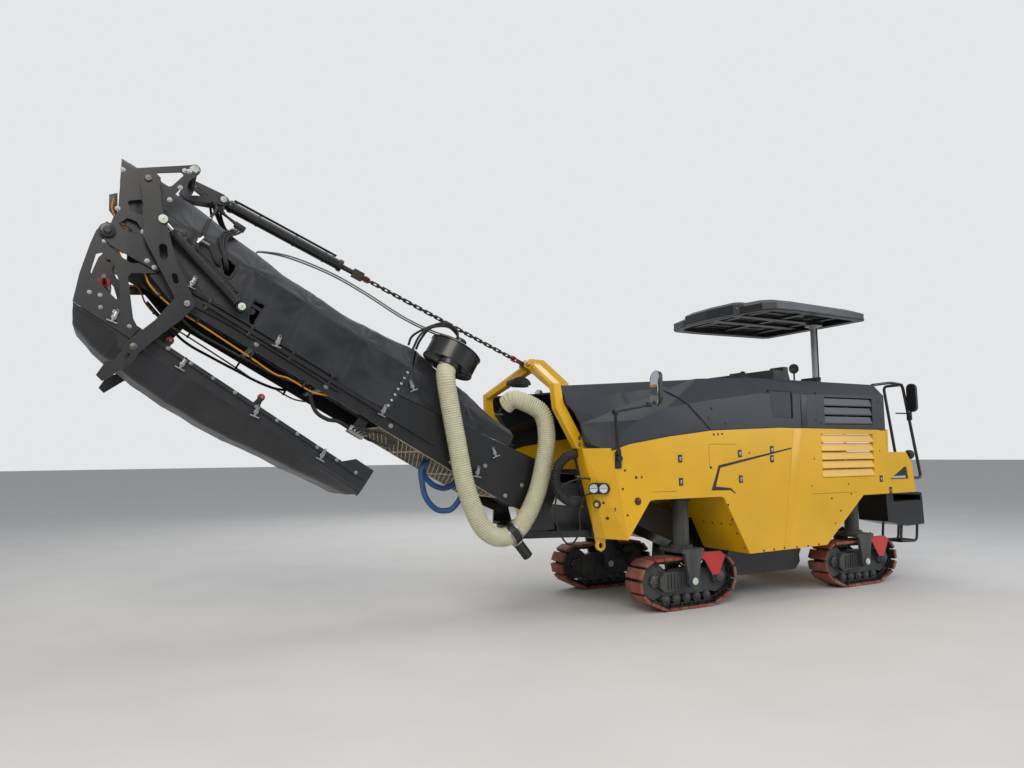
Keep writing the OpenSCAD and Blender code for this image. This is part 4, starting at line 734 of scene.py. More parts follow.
def track_loop(count, first=0.5):
    """Evenly spaced rows of x, z and outward angle round the crawler's chain."""
    def run(i):
        (ax, az, ar), (bx, bz, br) = WHEELS[i % 4], WHEELS[(i + 1) % 4]
        far = math.hypot(bx - ax, bz - az)
        return math.atan2(bz - az, bx - ax) - math.acos((ar - br) / far), math.sqrt(far ** 2 - (ar - br) ** 2)
    stretches = []
    for i, (x, z, r) in enumerate(WHEELS):
        start = run(i - 1)[0]
        swing = (run(i)[0] - start) % (2 * math.pi)
        stretches += [("arc", x, z, r, start, swing, swing * r), ("line", x, z, r, run(i)[0], 0, run(i)[1])]
    whole = sum(s[-1] for s in stretches)
    rows = []
    for k in range(count):
        s = (k + first) / count * whole
        for kind, x, z, r, angle, swing, length in stretches:
            if s <= length:
                break
            s -= length
        if kind == "arc":
            angle += s / r
            s = 0
        rows.append((x + r * math.cos(angle) - s * math.sin(angle),
                     z + r * math.sin(angle) + s * math.cos(angle), angle))
    return rows, whole / count


def crawler_trim(corner):
    """Pads, chain, hubs, caps, guard and hoses of one crawler, drawn round its own leg."""
    side = 1 if CRAWLERS[corner][1] > 0 else -1
    body = "crawler_" + corner
    shoes, pitch = track_loop(SHOES)
    places = [((x, 0, z), (0, math.pi / 2 - angle, 0)) for x, z, angle in shoes]
    half, chamfer, top = pitch * 0.45, pitch * 0.40, SHOE_H - 0.5
    bm = bmesh.new()
    prism(bm, [(-half, 14), (half, 14), (half, SHOE_H - 8), (chamfer, top), (-chamfer, top),
               (-half, SHOE_H - 8)],
          -SHOE_W / 2, SHOE_W / 2, 5)
    pads = repeated("pads_" + corner, bm, places, "track_pad_polyurethane", body)
    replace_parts(pads, "track_" + corner)
    # Under load the lowest pads are pressed flat on the ground
    for v in pads.data.vertices:
        v.co.z = max(v.co.z, 0.0004)
    bm = bmesh.new()
    box(bm, (-pitch * 0.47, -118, 3), (pitch * 0.47, 118, 15), 2)
    # Link plates of the chain, dog-boned between their pins
    for offset, y in ((-0.5, 44), (0.5, 56)):
        pair(bm, [(pitch * (offset + a), z) for a, z in ((-0.56, -22), (-0.30, -27), (0, -20), (0.30, -27),
                                                        (0.56, -22), (0.56, 2), (-0.56, 2))], y, y + 11, 1.5)
    pair_rod(bm, (-pitch * 0.5, 30, -10), (-pitch * 0.5, 74, -10), 11, 12)
    rod(bm, (-pitch * 0.5, -70, -10), (-pitch * 0.5, 70, -10), 8, 10)
    repeated("chain_" + corner, bm, places, "chain_steel", body)
    outs = [(x, z, Vector((math.cos(angle), 0, math.sin(angle)))) for x, z, angle in shoes]
    bolts("shoe_nuts_" + corner,
          [(Vector((x, s * 88, z)) + out * 3, -out) for x, z, out in outs for s in SIDES],
          "chain_steel", body, 24, 9)
    # Pin caps, roller caps, the idler's hub and the drive dome, the hub and the dome each with its ring of
    # bolts
    axle_x, axle_z = WHEELS[0][:2]
    pair_turned(kit("pin_caps_" + corner, "pin_cap_enamel", body),
                [(0, 0), (38, 0), (38, 8), (30, 14), (0, 15)],
                (0, 202, 300))
    bm = kit("hub_covers_" + corner, "crawler_enamel", body)
    for k in range(-2, 3):
        pair_turned(bm, [(34, 0), (34, 5), (24, 12), (0, 14)], (140 * k, 65, SHOE_H + 65.3), sides=20)
    pair_turned(bm, [(58, 0), (58, 8), (44, 16), (30, 16), (26, 22), (0, 24)], (axle_x, 62, axle_z), sides=28)
    pair_turned(bm, [(80, 0), (80, 12), (66, 24), (60, 42), (44, 52), (0, 56)], (-axle_x, 80, axle_z),
                sides=32)
    rows = side_rows(circle(12, 71, -axle_x, axle_z), 90) + side_rows(circle(6, 50, axle_x, axle_z), 68)
    bolts("hub_bolts_" + corner, rows, "zinc_steel", body, 14, 6)
    # Fins of the drive housing and bolts of the fork plate
    for x in range(10, 311, 44):
        box(kit("drive_fins_" + corner, "crawler_enamel", body), (x, side * 108, 225),
            (x + 14, side * 122, 380), 2)
    rows = [((x, y, 655), (0, 0, 1)) for x, y in circle(8, 95)]
    rows += [((x, s * (SHOE_W / 2 + 40), 630), (0, 0, 1)) for s in SIDES for x in (-120, -60, 60, 120)]
    bolts("fork_bolts_" + corner, rows, "crawler_enamel", body, 26, 12)
    # Red front of the shoe guard
    guard = [(-128, TRACK_H + 29), (-414, TRACK_H + 29), (-490, 528), (-424, 404), (-396, 336), (-304, 336),
             (-196, 504), (-128, 534)]
    prism(kit("guard_red_" + corner, "signal_red_enamel", body), guard, side * (SHOE_W / 2 + 11.5),
          side * (SHOE_W / 2 + 13))
    # Drive hoses from the leg into the frame, on the inner side
    for k, x in enumerate((-28, 28)):
        route = [(x, -side * 110, 690), (x - 30, -side * 215, 610), (x - 120, -side * 222, 470),
                 (x - 230, -side * 190, 380), (x - 330, -side * 120, 330)]
        tube(kit(f"drive_hose_{corner}_{k}", "hose_rubber", body), smooth_path(route, 26), 13, 10)


for corner in CRAWLERS:
    crawler_trim(corner)


# Suction hose: down from the fan's collar, round in front and up into the body, in the machine's own place
def at_conveyor(x, y, z):
    return tuple(CONVEYOR @ Vector((x, y, z)))


HOSE_Y = 556
hose_end = at_conveyor(830, 0, 720)
hose_route = [at_conveyor(1600, 488, 740), at_conveyor(1600, 488, 672), at_conveyor(1560, HOSE_Y, 530)]
hose_route += [(x, HOSE_Y, z) for x,
               z in ((3936, 1795), (3840, 1350), (3700, 1010), (3560, 870), (3400, 850), (3230, 960),
                                           (3060, 1250), (2960, 1600), (2930, 1850))]
hose_route += [(2990, 540, 2080), (hose_end[0] - 70, 470, hose_end[2] + 60), (hose_end[0], 380, hose_end[2])]
hose = corrugated("ribbed_suction_hose", smooth_path(hose_route, 140), 90, 22, 8, "hose_polyurethane",
                  "conveyor", HERE)
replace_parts(hose, "suction_hose")


# Conveyor covers: stations along x with the foot, the shoulder and the peak's y and z
SIDE_Y = 450
MAIN_STATIONS = [(1884, 30, 496, 224, 752), (2120, 6, 486, 282, 700), (2560, 5, 465, 360, 615),
                 (3270, 15, 465, 360, 615),
                 (3880, 20, 465, 320, 681), (4177, 150, 465, 300, 714), (4900, 203, 465, 300, 714)]
TENT_STATIONS = [(622, 362, 470, 300, 558), (1250, 282, 486, 262, 655), (1878, 203, 497, 222, 748)]
HOSE_POCKET = [(3684, 295), (3705, 280), (3740, 285), (3826, 385), (3820, 410), (3780, 415), (3700, 405),
               (3684, 390)]
FRAME_POCKET = [(3310, 30), (3345, 30), (3408, 136), (3410, 235), (3320, 240)]


def station(stations, x):
    """The row of values at a place between two stations."""
    for a, b in zip(stations, stations[1:]):
        if x <= b[0]:
            break
    t = min(1, max(0, (x - a[0]) / (b[0] - a[0])))
    return [p + (q - p) * t for p, q in zip(a, b)][1:]


def inside(x, z, outline):
    hit = False
    for (ax, az), (bx, bz) in zip(outline, outline[1:] + outline[:1]):
        if (az > z) != (bz > z) and x < ax + (z - az) * (bx - ax) / (bz - az):
            hit = not hit
    return hit


def even_line(points, radii, parts):
    """A line of y and z points with rounded corners and a fixed number of parts on each straight."""
    points = [Vector(p) for p in points]
    line = []
    last = points[0]
    for i, p in enumerate(points[1:], 1):
        radius = radii[i - 1] if i < len(points) - 1 else 0
        stop = p + (last - p).normalized() * radius if radius else p
        line += [last.lerp(stop, k / parts[i - 1]) for k in range(parts[i - 1])]
        if radius:
            start = p + (points[i + 1] - p).normalized() * radius
            line += [stop.lerp(p, k / 4).lerp(p.lerp(start, k / 4), k / 4) for k in range(4)]
            last = start
    return line + [points[-1]]


def ripple(x, y, z, seed):
    """Smooth wrinkles from minus one to one, longer along x than across."""
    slant = Vector(((x + 0.5 * z) / 230, y / 130, (z - 0.35 * x) / 110 + seed))
    fine = Vector((x / 85 + seed, y / 55, z / 55))
    return 0.65 * noise.noise(slant) + 0.35 * noise.noise(fine)


def star_folds(x, z, hoops, shoulder):
    """Folds that fan out from where a hoop pulls at the shoulder."""
    total = 0
    for h in hoops:
        far = math.hypot(x - h, z - shoulder)
        if far < 420:
            turn = math.atan2(z - shoulder, x - h)
            total += math.exp(-(far / 190) ** 2) * min(1, far / 70) * math.cos(9 * turn + h)
    return total


def cover_grid(stations, start, end, seed, hoops, sag, wrinkle, step=21):
    """Points of a cover over hoops; start and end give the x of its two edges at a height."""
    rows = int((end(465) - start(465)) / step)
    grid = []
    for i in range(rows + 1):
        t = i / rows
        middle = start(465) + (end(465) - start(465)) * t
        foot, shoulder, peak_y, peak_z = station(stations, middle)
        half = [(SIDE_Y, foot), (SIDE_Y, shoulder), (peak_y, peak_z)]
        outline = even_line(half + [(-y, z) for y, z in half[::-1]], [26, 60, 60, 26], [22, 9, 20, 9, 22])
        line = []
        for p in outline:
            x = start(p.y) + (end(p.y) - start(p.y)) * t
            near = min(abs(x - h) for h in hoops)
            reach = min(1, near / 230)
            above = min(1, max(0, (p.y - 207) / 90))
            creased = wrinkle * (0.5 + 0.6 * ripple(x, p.x, p.y, seed)) * (0.35 + 0.65 * reach)
            inward = (sag * reach * reach + creased) * above
            inward += 3.2 * above * (1 + star_folds(x, p.y, hoops, shoulder))
            flap = (1 - above) * (2.6 + 1.2 * math.sin(x / 47 + seed) * min(1, max(0, (205 - p.y) / 120)))
            on_side = abs(p.x) > SIDE_Y - 2
            away = Vector((math.copysign(1, p.x), 0)) if on_side else Vector((p.x, p.y - 250)).normalized()
            line.append(Vector((x, p.x - away.x * inward + math.copysign(flap, p.x), p.y - away.y * inward)))
        grid.append(line)
    return grid


def outward(grid):
    """The unit normal at every point of a grid, away from its middle."""
    centre = sum((p for row in grid for p in row), Vector()) / (len(grid) * len(grid[0]))
    normals = []
    for i, row in enumerate(grid):
        line = []
        for k, p in enumerate(row):
            along = grid[min(i + 1, len(grid) - 1)][k] - grid[max(i - 1, 0)][k]
            across = row[min(k + 1, len(row) - 1)] - row[max(k - 1, 0)]
            line.append(along.cross(across).normalized())
        normals.append(line)
    middle = grid[len(grid) // 2]
    k = len(middle) // 2
    if (middle[k] - centre).dot(normals[len(grid) // 2][k]) < 0:
        normals = [[-n for n in line] for line in normals]
    return normals


def shell(bm, grid, lift=0.0, thick=3.0, holes=(), rows=None, columns=None):
    """A closed skin on a grid or a part of it, raised by lift, with holes in its sides."""
    normals = outward(grid)
    rows = rows or (0, len(grid) - 1)
    columns = columns or (0, len(grid[0]) - 1)
    top, low = {}, {}
    for i in range(rows[0], rows[1] + 1):
        for k in range(columns[0], columns[1] + 1):
            top[i, k] = bm.verts.new(grid[i][k] + normals[i][k] * lift)
            low[i, k] = bm.verts.new(grid[i][k] + normals[i][k] * (lift - thick))
    quads = []
    for i in range(rows[0], rows[1]):
        for k in range(columns[0], columns[1]):
            middle = (grid[i][k] + grid[i + 1][k + 1]) / 2
            if abs(middle.y) < 400 or not any(inside(middle.x, middle.z, h) for h in holes):
                quads.append(((i, k), (i + 1, k), (i + 1, k + 1), (i, k + 1)))
    edges = {}
    for quad in quads:
        bm.faces.new([top[c] for c in quad])
        bm.faces.new([low[c] for c in quad[::-1]])
        for a, b in zip(quad, quad[1:] + quad[:1]):
            edges[frozenset((a, b))] = edges.get(frozenset((a, b)), 0) + 1
    for pair_of, count in edges.items():
        if count == 1:
            a, b = pair_of
            bm.faces.new((top[a], top[b], low[b], low[a]))
    for v in [v for v in bm.verts if not v.link_faces]:
        bm.verts.remove(v)


def seams(name, grid, body, rows=(), columns=(), wide=1):
    """Welded seam tapes along rows and columns of a cover's grid."""
    bm = bmesh.new()
    for i in rows:
        shell(bm, grid, 1.7, 2.6, rows=(max(0, i - wide), min(len(grid) - 1, i + wide)))
    for k in columns:
        shell(bm, grid, 2.0, 3.0, columns=(max(0, k - wide), min(len(grid[0]) - 1, k + wide)))
    return piece(name, bm, "seam_tape", body, sharp=50)


def cover(name, grid, body, stands_for, seam_name, hoops, columns, holes=()):
    """A stretched tarpaulin on its grid, with seam tapes at its hoops and columns."""
    bm = bmesh.new()
    shell(bm, grid, holes=holes)
    cloth = piece(name, bm, "conveyor_tarpaulin", body, sharp=60)
    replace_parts(cloth, stands_for)
    rows = [min(range(len(grid)), key=lambda i: abs(grid[i][20].x - h)) for h in hoops]
    tapes = seams(seam_name, grid, body, rows, columns)


def main_start(z):
    return 1884 + 14 * max(0, min(1, (z - 480) / 120)) + 10 * max(0, min(1, (200 - z) / 180))


def main_end(z):
    return 4633 + (max(z, 0) - 200) * 269 / 508


hoops = [1884, 2440, 3000, 3560, 4120, 4660]
grid = cover_grid(MAIN_STATIONS, main_start, main_end, 1.7, hoops, 6, 6)
last = len(grid[0]) - 1
cover("conveyor_tarpaulin_cover", grid, "conveyor", "conveyor_cover",
      "conveyor_cover_seams", hoops,
      (0, 24, last - 24, last), (HOSE_POCKET, FRAME_POCKET))
hoops = [620, 1250, 1879]
grid = cover_grid(TENT_STATIONS, lambda z: 622, lambda z: 1879, 5.1, hoops, 13, 9)
cover("tent_tarpaulin", grid, "conveyor", "tent_cover", "tent_seams", hoops,
      (0, 24, last - 24, last))

# The folded section's cover hangs as a belly under its frame
BELLY = [(1700, -590), (1760, -650), (2304, -714), (3168, -815), (3801, -809), (4207, -754), (4406, -690),
         (4458, -600)]
BELLY_START, BELLY_LENGTH, BELLY_ROWS = 1702, 2756, 120
RAIL_LOW, EDGE_LOW = -550.8, -589
hoops = (1700, 2300, 2900, 3500, 4100, 4460)
grid = []
for i in range(BELLY_ROWS + 1):
    x = BELLY_START + BELLY_LENGTH * i / BELLY_ROWS
    z, = station(BELLY, x)
    wide = max(300, min(445, 300 + 145 * (1 - (-592 - z) / 58)))
    half = [(SIDE_Y, RAIL_LOW), (SIDE_Y, EDGE_LOW), (wide, min(z, -593))]
    outline = even_line(half + [(-y, low) for y, low in half[::-1]], [12, 40, 40, 12], [3, 9, 20, 9, 3])
    near = min(abs(x - h) for h in hoops)
    line = []
    for p in outline:
        depth = min(1, (RAIL_LOW - p.y) / 60)
        inward = 8 * min(1, near / 200) + 8 * (0.5 + 0.5 * ripple(x, p.x, p.y, 9.3))
        nose = 28 * min(1, max(0, (p.y + 590) / 40)) * i / BELLY_ROWS
        line.append(Vector((x + nose, p.x * (1 - inward * 0.4 * depth / SIDE_Y), p.y + inward * depth)))
    grid.append(line)
cover("folded_section_tarpaulin", grid, "fold", "fold_cover", "folded_section_seams", hoops,
      (1, len(grid[0]) - 2))

# Rubber rims of the pockets, eyelets along the flap
for pocket, high in ((HOSE_POCKET, 452), (FRAME_POCKET, 456)):
    pair_rim(kit("pocket_rims", "black_plastic", "conveyor"), grown_outline(pocket, -2),
             grown_outline(pocket, 24),
             high - 12, high)
for z in range(60, 433, 62):
    pair_turned(kit("cover_eyelets", "zinc_steel", "conveyor"), [(6, 0), (13, 0), (13, 3), (9, 5), (6, 3)],
                (main_start(z) + 26, 456 if z < 230 else 451, z), sides=14)

# Linkage pins: caps and grease nipples, each row point, y, radius, finish, body
PINS = [((4612, 583), 599, 27, "worn_steel", "conveyor"), ((3837, -136), 617, 25, "zinc_steel", "fold_lever"),
        ((4346, 360), 601, 36, "pin_cap_enamel", "fold_lever"),
        ((3473, 100), 554.5, 32, "pin_cap_enamel", "conveyor"),
        ((3977, -647), 605.3, 30, "worn_steel", "fold_link")]
for at, y, r, finish, body in PINS:
    pair_cap(kit("linkage_caps_" + finish, finish, body), at, y, r, 9)
    pair_turned(kit("grease_nipples_" + finish, "zinc_steel", body), [(5, 0), (5, 9), (3, 12), (0, 13)],
                (at[0], y + 9, at[1]), sides=10)
bm = kit("hinge_bolts", "dark_frame_enamel", "conveyor")
pair_turned(bm, [(0, 0), (56, 0), (56, 6), (48, 9), (0, 9)], (4628, 510, 61), sides=32)
pair_turned(bm, [(0, 8), (33, 8), (33, 26), (27, 31), (0, 31)], (4628, 510, 61), sides=6)
bm = kit("crossbar_nuts", "zinc_steel", "conveyor")
pair_turned(bm, [(0, 0), (42, 0), (42, 5), (34, 5), (34, 24), (0, 24)], (4387, 491, 904), sides=6)
pair_turned(bm, [(0, 0), (30, 0), (30, 8), (0, 9)], (4098, 90, 966))
points = ((4808, 556), (4444, 846), (4416, 862), (4668, 260), (4420, 210), (4412, 420), (4404, 560),
          (4396, 700),
          (4200, 5), (4270, 20))
bolts("tip_plate_bolts", side_rows(points, 490), "zinc_steel", "conveyor", 24, 11)
points = [(x, -90) for x in (420, 1100, 1800, 2500, 3200, 3850)] + [(300, 90), (760, 60)]
bolts("conveyor_frame_bolts", side_rows(points, 450), "zinc_steel", "conveyor", 26, 12)
points = ((4369, -392), (4210, -440), (4060, -470), (4640, 40), (4600, -20), (4310, -470), (4440, -420))
rows = side_rows(points, 468) + side_rows([(x, -447) for x in range(1840, 3860, 210)], 476)
bolts("fold_frame_bolts", rows, "zinc_steel", "fold", 20, 9)


# Over-centre latches of zinc-plated steel that draw the covers down to the rails
def latches(name, places, y, body):
    bm = bmesh.new()
    prism(bm, [(-9, -58), (9, -58), (11, -20), (8, 34), (-8, 34), (-11, -20)], 3, 7, 1)
    rod(bm, (-36, 8, -56), (36, 8, -56), 6.5, 12)
    for x in (-36, 36):
        turned(bm, [(0, 0), (8, 0), (8, 5), (0, 6)], (x, 8, -56), (x, 0, 0), 12)
    rod(bm, (-15, 6, -18), (15, 6, -18), 5, 10)
    tube(bm, [(-13, 6, -18), (-13, 8, 36), (-9, 9, 46), (0, 9, 50), (9, 9, 46), (13, 8, 36), (13, 6, -18)],
         3, 8)
    box(bm, (-20, 0, -30), (20, 3, -4), 1)
    rows = [((x, s * y, z), (0, turn, 0 if s > 0 else math.pi)) for x, z, turn in places for s in SIDES]
    repeated(name, bm, rows, "zinc_steel", body)


latches("cover_latches", [(3898, 78, 0.1), (3066, 30, 0.2), (1941, -2, 0.1), (820, -30, 0.3)], 486,
        "conveyor")
latches("shoulder_latches", [(1818, 350, 0.9), (748, 230, 0.9)], 458, "conveyor")
latches("folded_cover_latches", [(4190, -462, 0.2), (3570, -478, 0.1), (2868, -470, 0.2), (2185, -470, 0.1)],
        478,
        "fold")
bm = kit("latch_posts", "black_enamel", "conveyor")
for x, z in ((3898, 50), (3066, 8), (1941, -22), (820, -50)):
    pair_box(bm, (x - 22, 449, z - 24), (x + 22, 487, z - 14), 1)
    pair_box(bm, (x - 20, 481, z - 24), (x + 20, 486, z + 24), 1)

# Pipes and tubes along the conveyor's sides
bm = kit("side_pipes", "black_enamel", "conveyor")
pair_hose(bm, [(2440, 470, 26), (3000, 470, 22), (3560, 470, 16), (3900, 468, -2)], 12, 12)
pair_hose(bm, [(2380, 470, -70), (3000, 470, -64), (3500, 470, -68), (3800, 466, -92)], 9)
for x in (2500, 2900, 3300, 3700):
    pair_box(bm, (x - 12, 449, -80), (x + 12, 484, -40), 2)
    pair_box(bm, (x - 12, 455, -10), (x + 12, 484, 34), 2)

# Fold cylinders: steel lines, clamps and glands, drawn from the base pin towards the lever
base, head = Vector((3473, 0, 100)), Vector((4346, 0, 360))
way = (head - base).normalized()
over = Vector((-way.z, 0, way.x))
bm = kit("cylinder_lines", "black_enamel", "fold_barrels")
glands = kit("cylinder_glands", "black_enamel", "fold_barrels")
for s in SIDES:
    foot = base + Vector((0, s * 531.5, 0))
    for y, far in ((-11, 150), (11, 735)):
        line = ((90, 34), (96, 52), (130, 58), (far - 40, 58), (far - 8, 50), (far, 34))
        hosed(bm, [foot + way * a + over * b + Vector((0, y, 0)) for a, b in line], 6.5)
    for a in (250, 480, 690):
        low = foot + way * a
        turned(bm, band(36.5, 40, -9, 18), low, way, 28)
        tube(bm, [low + over * 38 - way * 9, low + over * 38 + way * 9], 3, 8)
        tube(bm, [low + over * b + Vector((0, y, 0)) for y, b in ((-20, 40), (-20, 66), (20, 66), (20, 40))],
             3, 8)
    turned(glands, [(26, 770), (41, 770), (44, 776), (44, 804), (40, 808), (26, 808), (26, 770)], foot, way,
           32)
    turned(glands, [(20, 48), (41, 50), (44, 58), (41, 70), (20, 70)], foot, way, 28)

# Luffing cylinder: its rings and lines, and the red shackles at the chain's ends
stay_top = CONVEYOR @ Vector((4098, 0, 966))
stay_low = Vector((2870, 0, 2628))
stay = (stay_low - stay_top).normalized()
stay_up = Vector((stay.z, 0, -stay.x)) * (1 if stay.x < 0 else -1)
bm = kit("luff_cylinder_rings", "black_enamel", "luff_barrel")
for a, r in ((60, 57), (1170, 60)):
    turned(bm, [(50, a), (r, a), (r + 2, a + 5), (r + 2, a + 32), (r, a + 38), (50, a + 38)], stay_top, stay,
           32)
line = ((110, 46), (118, 64), (160, 70), (1040, 70), (1090, 66), (1100, 46))
for y in (-14, 14):
    hosed(bm, [stay_top + stay * a + stay_up * b + Vector((0, y, 0)) for a, b in line], 7)
for a in (330, 700, 1010):
    turned(bm, band(50.5, 55, a, 20), stay_top, stay, 28)
bow = ((-34, 20), (0, 26), (30, 20), (42, 0), (30, -20), (0, -26), (-34, -20))
for a in (1478, (stay_low - stay_top).length - 150):
    hosed(kit("shackles", "signal_red_enamel", "luff_rod"),
          [stay_top + stay * (a + p) + stay_up * q for p, q in bow], 8)

# Hoses from the luffing cylinder over the cover to the T fittings and into the side pockets
bm = kit("tip_hoses", "hose_rubber", "conveyor")
for o in (0, 26, 52):
    pair_hose(bm, [(4130 - o, 40, 880 + o / 3), (4060 - o, 110, 842), (3960 - o, 215, 800),
                   (3880 - o, 300, 752),
                   (3880 - o, 352, 690), (3930 - o, 408, 592), (3900 - o, 448, 500), (3830 - o / 2, 470, 420),
                   (3775 - o / 2, 462, 356), (3750 - o / 3, 420, 330)], 11)
pair_hose(bm, [(4170, 60, 890), (4110, 190, 838), (4085, 300, 760), (4080, 372, 650), (4058, 440, 540),
               (4038, 474, 470), (4028, 480, 440)], 12)
pair_hose(bm, [(3968, 476, 420), (3900, 478, 372), (3850, 474, 330), (3800, 440, 322)], 10)
pair_hose(bm, [(4040, 480, 395), (4010, 486, 330), (3900, 488, 250), (3700, 486, 190), (3560, 470, 150)], 10)
bm = kit("tee_fittings", "zinc_steel", "conveyor")
pair_rod(bm, (4030, 480, 452), (4044, 480, 378), 15, 6)
pair_rod(bm, (4036, 480, 414), (3958, 478, 418), 14, 6)
pair_box(bm, (4016, 448, 400), (4060, 470, 430), 2)
for at in ((4080, 372, 650), (3905, 372, 650), (3880, 352, 690)):
    pair_turned(bm, [(13, -9), (17, -9), (17, 9), (13, 9)], at, (0.2, -0.4, 0.9), 6)
pair_box(kit("hose_clamps", "black_plastic", "conveyor"), (3800, 258, 742), (3900, 330, 782), 5)

# Sensor box at the discharge edge
pair(kit("sensor_boxes", "black_plastic", "conveyor"),
     [(4786, 335), (4746, 385), (4653, 234), (4669, 205), (4722, 229)],
     402, 430, 4)

# Yellow cable through the tip, under the hinge and along the frame; black conduit below it
bm = kit("tip_cables", "cable_yellow_plastic", "conveyor")
pair_hose(bm, [(4745, 424, 330), (4700, 426, 240), (4573, 426, 168), (4540, 426, 200), (4495, 426, 226),
               (4450, 424, 190)], 8, 8)
line = ((4520, 0), (4424, -64), (4357, -56), (4300, -30), (4240, -60), (4167, -118), (4055, -160),
        (3904, -186),
        (3700, -190), (3450, -200), (3184, -212), (2944, -226), (2822, -198), (2674, -196), (2563, -190))
pair_hose(bm, [(x, 424, z) for x, z in line] + [(2448, 432, -150)], 8, 8)
for x, z in ((3700, -190), (3184, -212), (2674, -196), (4055, -160)):
    pair_box(kit("cable_clips", "black_plastic", "conveyor"), (x - 9, 412, z - 12), (x + 9, 440, -140), 2)
conduit = [(4155, 400, -110), (3900, 400, -196), (3681, 398, -252), (3418, 396, -250), (3167, 396, -238),
           (2978, 396, -230), (2800, 400, -204), (2680, 404, -160)]
for s, side in ((-1, "right"), (1, "left")):
    corrugated("cable_conduit_" + side, smooth_path([across(p, s) for p in conduit], 60), 13, 9, 3,
               "black_plastic",
               "conveyor")

# Roller brackets, red rollers, the nose drum and idlers seen between the sections
for x, z, r in ((3756, -379, 30), (2896, -350, 30)):
    pair_turned(kit("fold_roller_ends", "signal_red_enamel", "fold"),
                [(0, 0), (r, 0), (r + 2, 4), (r + 2, 26), (r, 30), (0, 30)], (x, 400, z))
    pair(kit("fold_roller_brackets", "black_enamel", "fold"),
         [(x - 34, -438), (x + 34, -438), (x + 20, z - 6), (x + 8, z + 16), (x - 8, z + 16),
          (x - 20, z - 6)], 438, 446, 1)
    pair_rod(kit("fold_roller_pins", "zinc_steel", "fold"), (x, 428, z), (x, 456, z), 12, 6)
turned(kit("nose_drum", "signal_red_enamel", "fold"),
       [(0, 0), (46, 0), (50, 20), (54, 240), (50, 460), (46, 480), (0, 480)], (4440, -240, -250), (0, 1, 0),
       32)
rod(kit("nose_drum_shaft", "worn_steel", "fold"), (4440, -455, -250), (4440, 455, -250), 18, 16)
for x in range(2150, 4150, 330):
    rod(kit("belt_idlers", "signal_red_enamel", "fold"), (x, -300, -467), (x, 300, -467), 17, 16)
    rod(kit("belt_idler_shafts", "worn_steel", "fold"), (x, -439, -467), (x, 439, -467), 8, 10)


# Belt ribs: low chevrons moulded on the belts
def chevron():
    bm = bmesh.new()
    for s in SIDES:
        prism(bm, [(-8, 0), (8, 0), (5, 13), (-5, 13)], 0, s * 270)
        for v in bm.verts:
            if v.co.y * s > 100:
                v.co.x -= 110
    return bm


rows = [((x, 0, 180), (0, 0, 0)) for x in range(260, 4260, 250)]
rows += [((x, 0, -40), (math.pi, 0, 0)) for x in range(260, 4300, 250)]
repeated("belt_ribs", chevron(), rows, "conveyor_rubber", "conveyor")
rows = [((x, 0, -575), (math.pi, 0, 0)) for x in range(1950, 4240, 250)]
repeated("folded_belt_ribs", chevron(), rows, "conveyor_rubber", "fold")

# Expanded metal guard: zigzag strands, every second one turned, in an angle frame
STRANDS, STRAND_GAP, MESHES, MESH_PITCH, MESH_HALF, MESH_THICK = 57, 24, 14, 62, 11, 6
bm = bmesh.new()
rings = []
for k in range(MESHES + 1):
    x, y = MESH_HALF * (1 if k % 2 else -1), (k - MESHES / 2) * MESH_PITCH
    rings.append([bm.verts.new((x + a, y, b)) for a,
                  b in ((-4, 0), (4, 0), (4, MESH_THICK), (-4, MESH_THICK))])
close_sides(bm, rings)
bm.faces.new(rings[0])
bm.faces.new(rings[-1][::-1])
rows = [((526 + STRAND_GAP * k, 0, -160), (0, 0, math.pi * (k % 2))) for k in range(STRANDS)]
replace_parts(repeated("expanded_mesh_guard", bm, rows, "mesh_steel", "conveyor"), "mesh_guard")
bm = kit("mesh_guard_frame", "mesh_steel", "conveyor")
pair_box(bm, (502, 424, -158), (1898, 448, -153), 1)
for x in (502, 960, 1420, 1870):
    box(bm, (x, -446, -158.5), (x + 28, 446, -153.5), 1)

# Valve block under the frame, its hoses and the conduit that feeds it, on the left side
bm = kit("valve_block", "zinc_steel", "conveyor")
box(bm, (1960, 330, -330), (2120, 410, -262), 4)
for k in range(4):
    turned(bm, [(0, 0), (15, 0), (15, 10), (11, 12), (11, 30), (0, 32)], (1985 + 36 * k, 410, -296),
           (0, 1, 0), 12)
    hosed(kit("valve_hoses", "hose_rubber", "conveyor"),
          [(1985 + 36 * k, 436, -296), (1975 + 34 * k, 474, -275), (1900 + 22 * k, 472, -205 - 8 * k),
           (1770 + 20 * k, 464, -172 - 8 * k), (1700 + 16 * k, 456, -205), (1712 + 16 * k, 440, -262),
           (1830 + 18 * k, 410, -284 - 5 * k), (1966, 380, -300)], 9, 8)
box(kit("valve_brackets", "black_enamel", "conveyor"), (1990, 345, -266), (2090, 400, -118), 3)
route = [(2620, 396, -140), (2550, 400, -250), (2450, 404, -325), (2330, 404, -330), (2240, 400, -296),
         (2116, 380, -292)]
corrugated("valve_conduit", smooth_path(route, 60), 18, 10, 4, "hose_rubber", "conveyor")

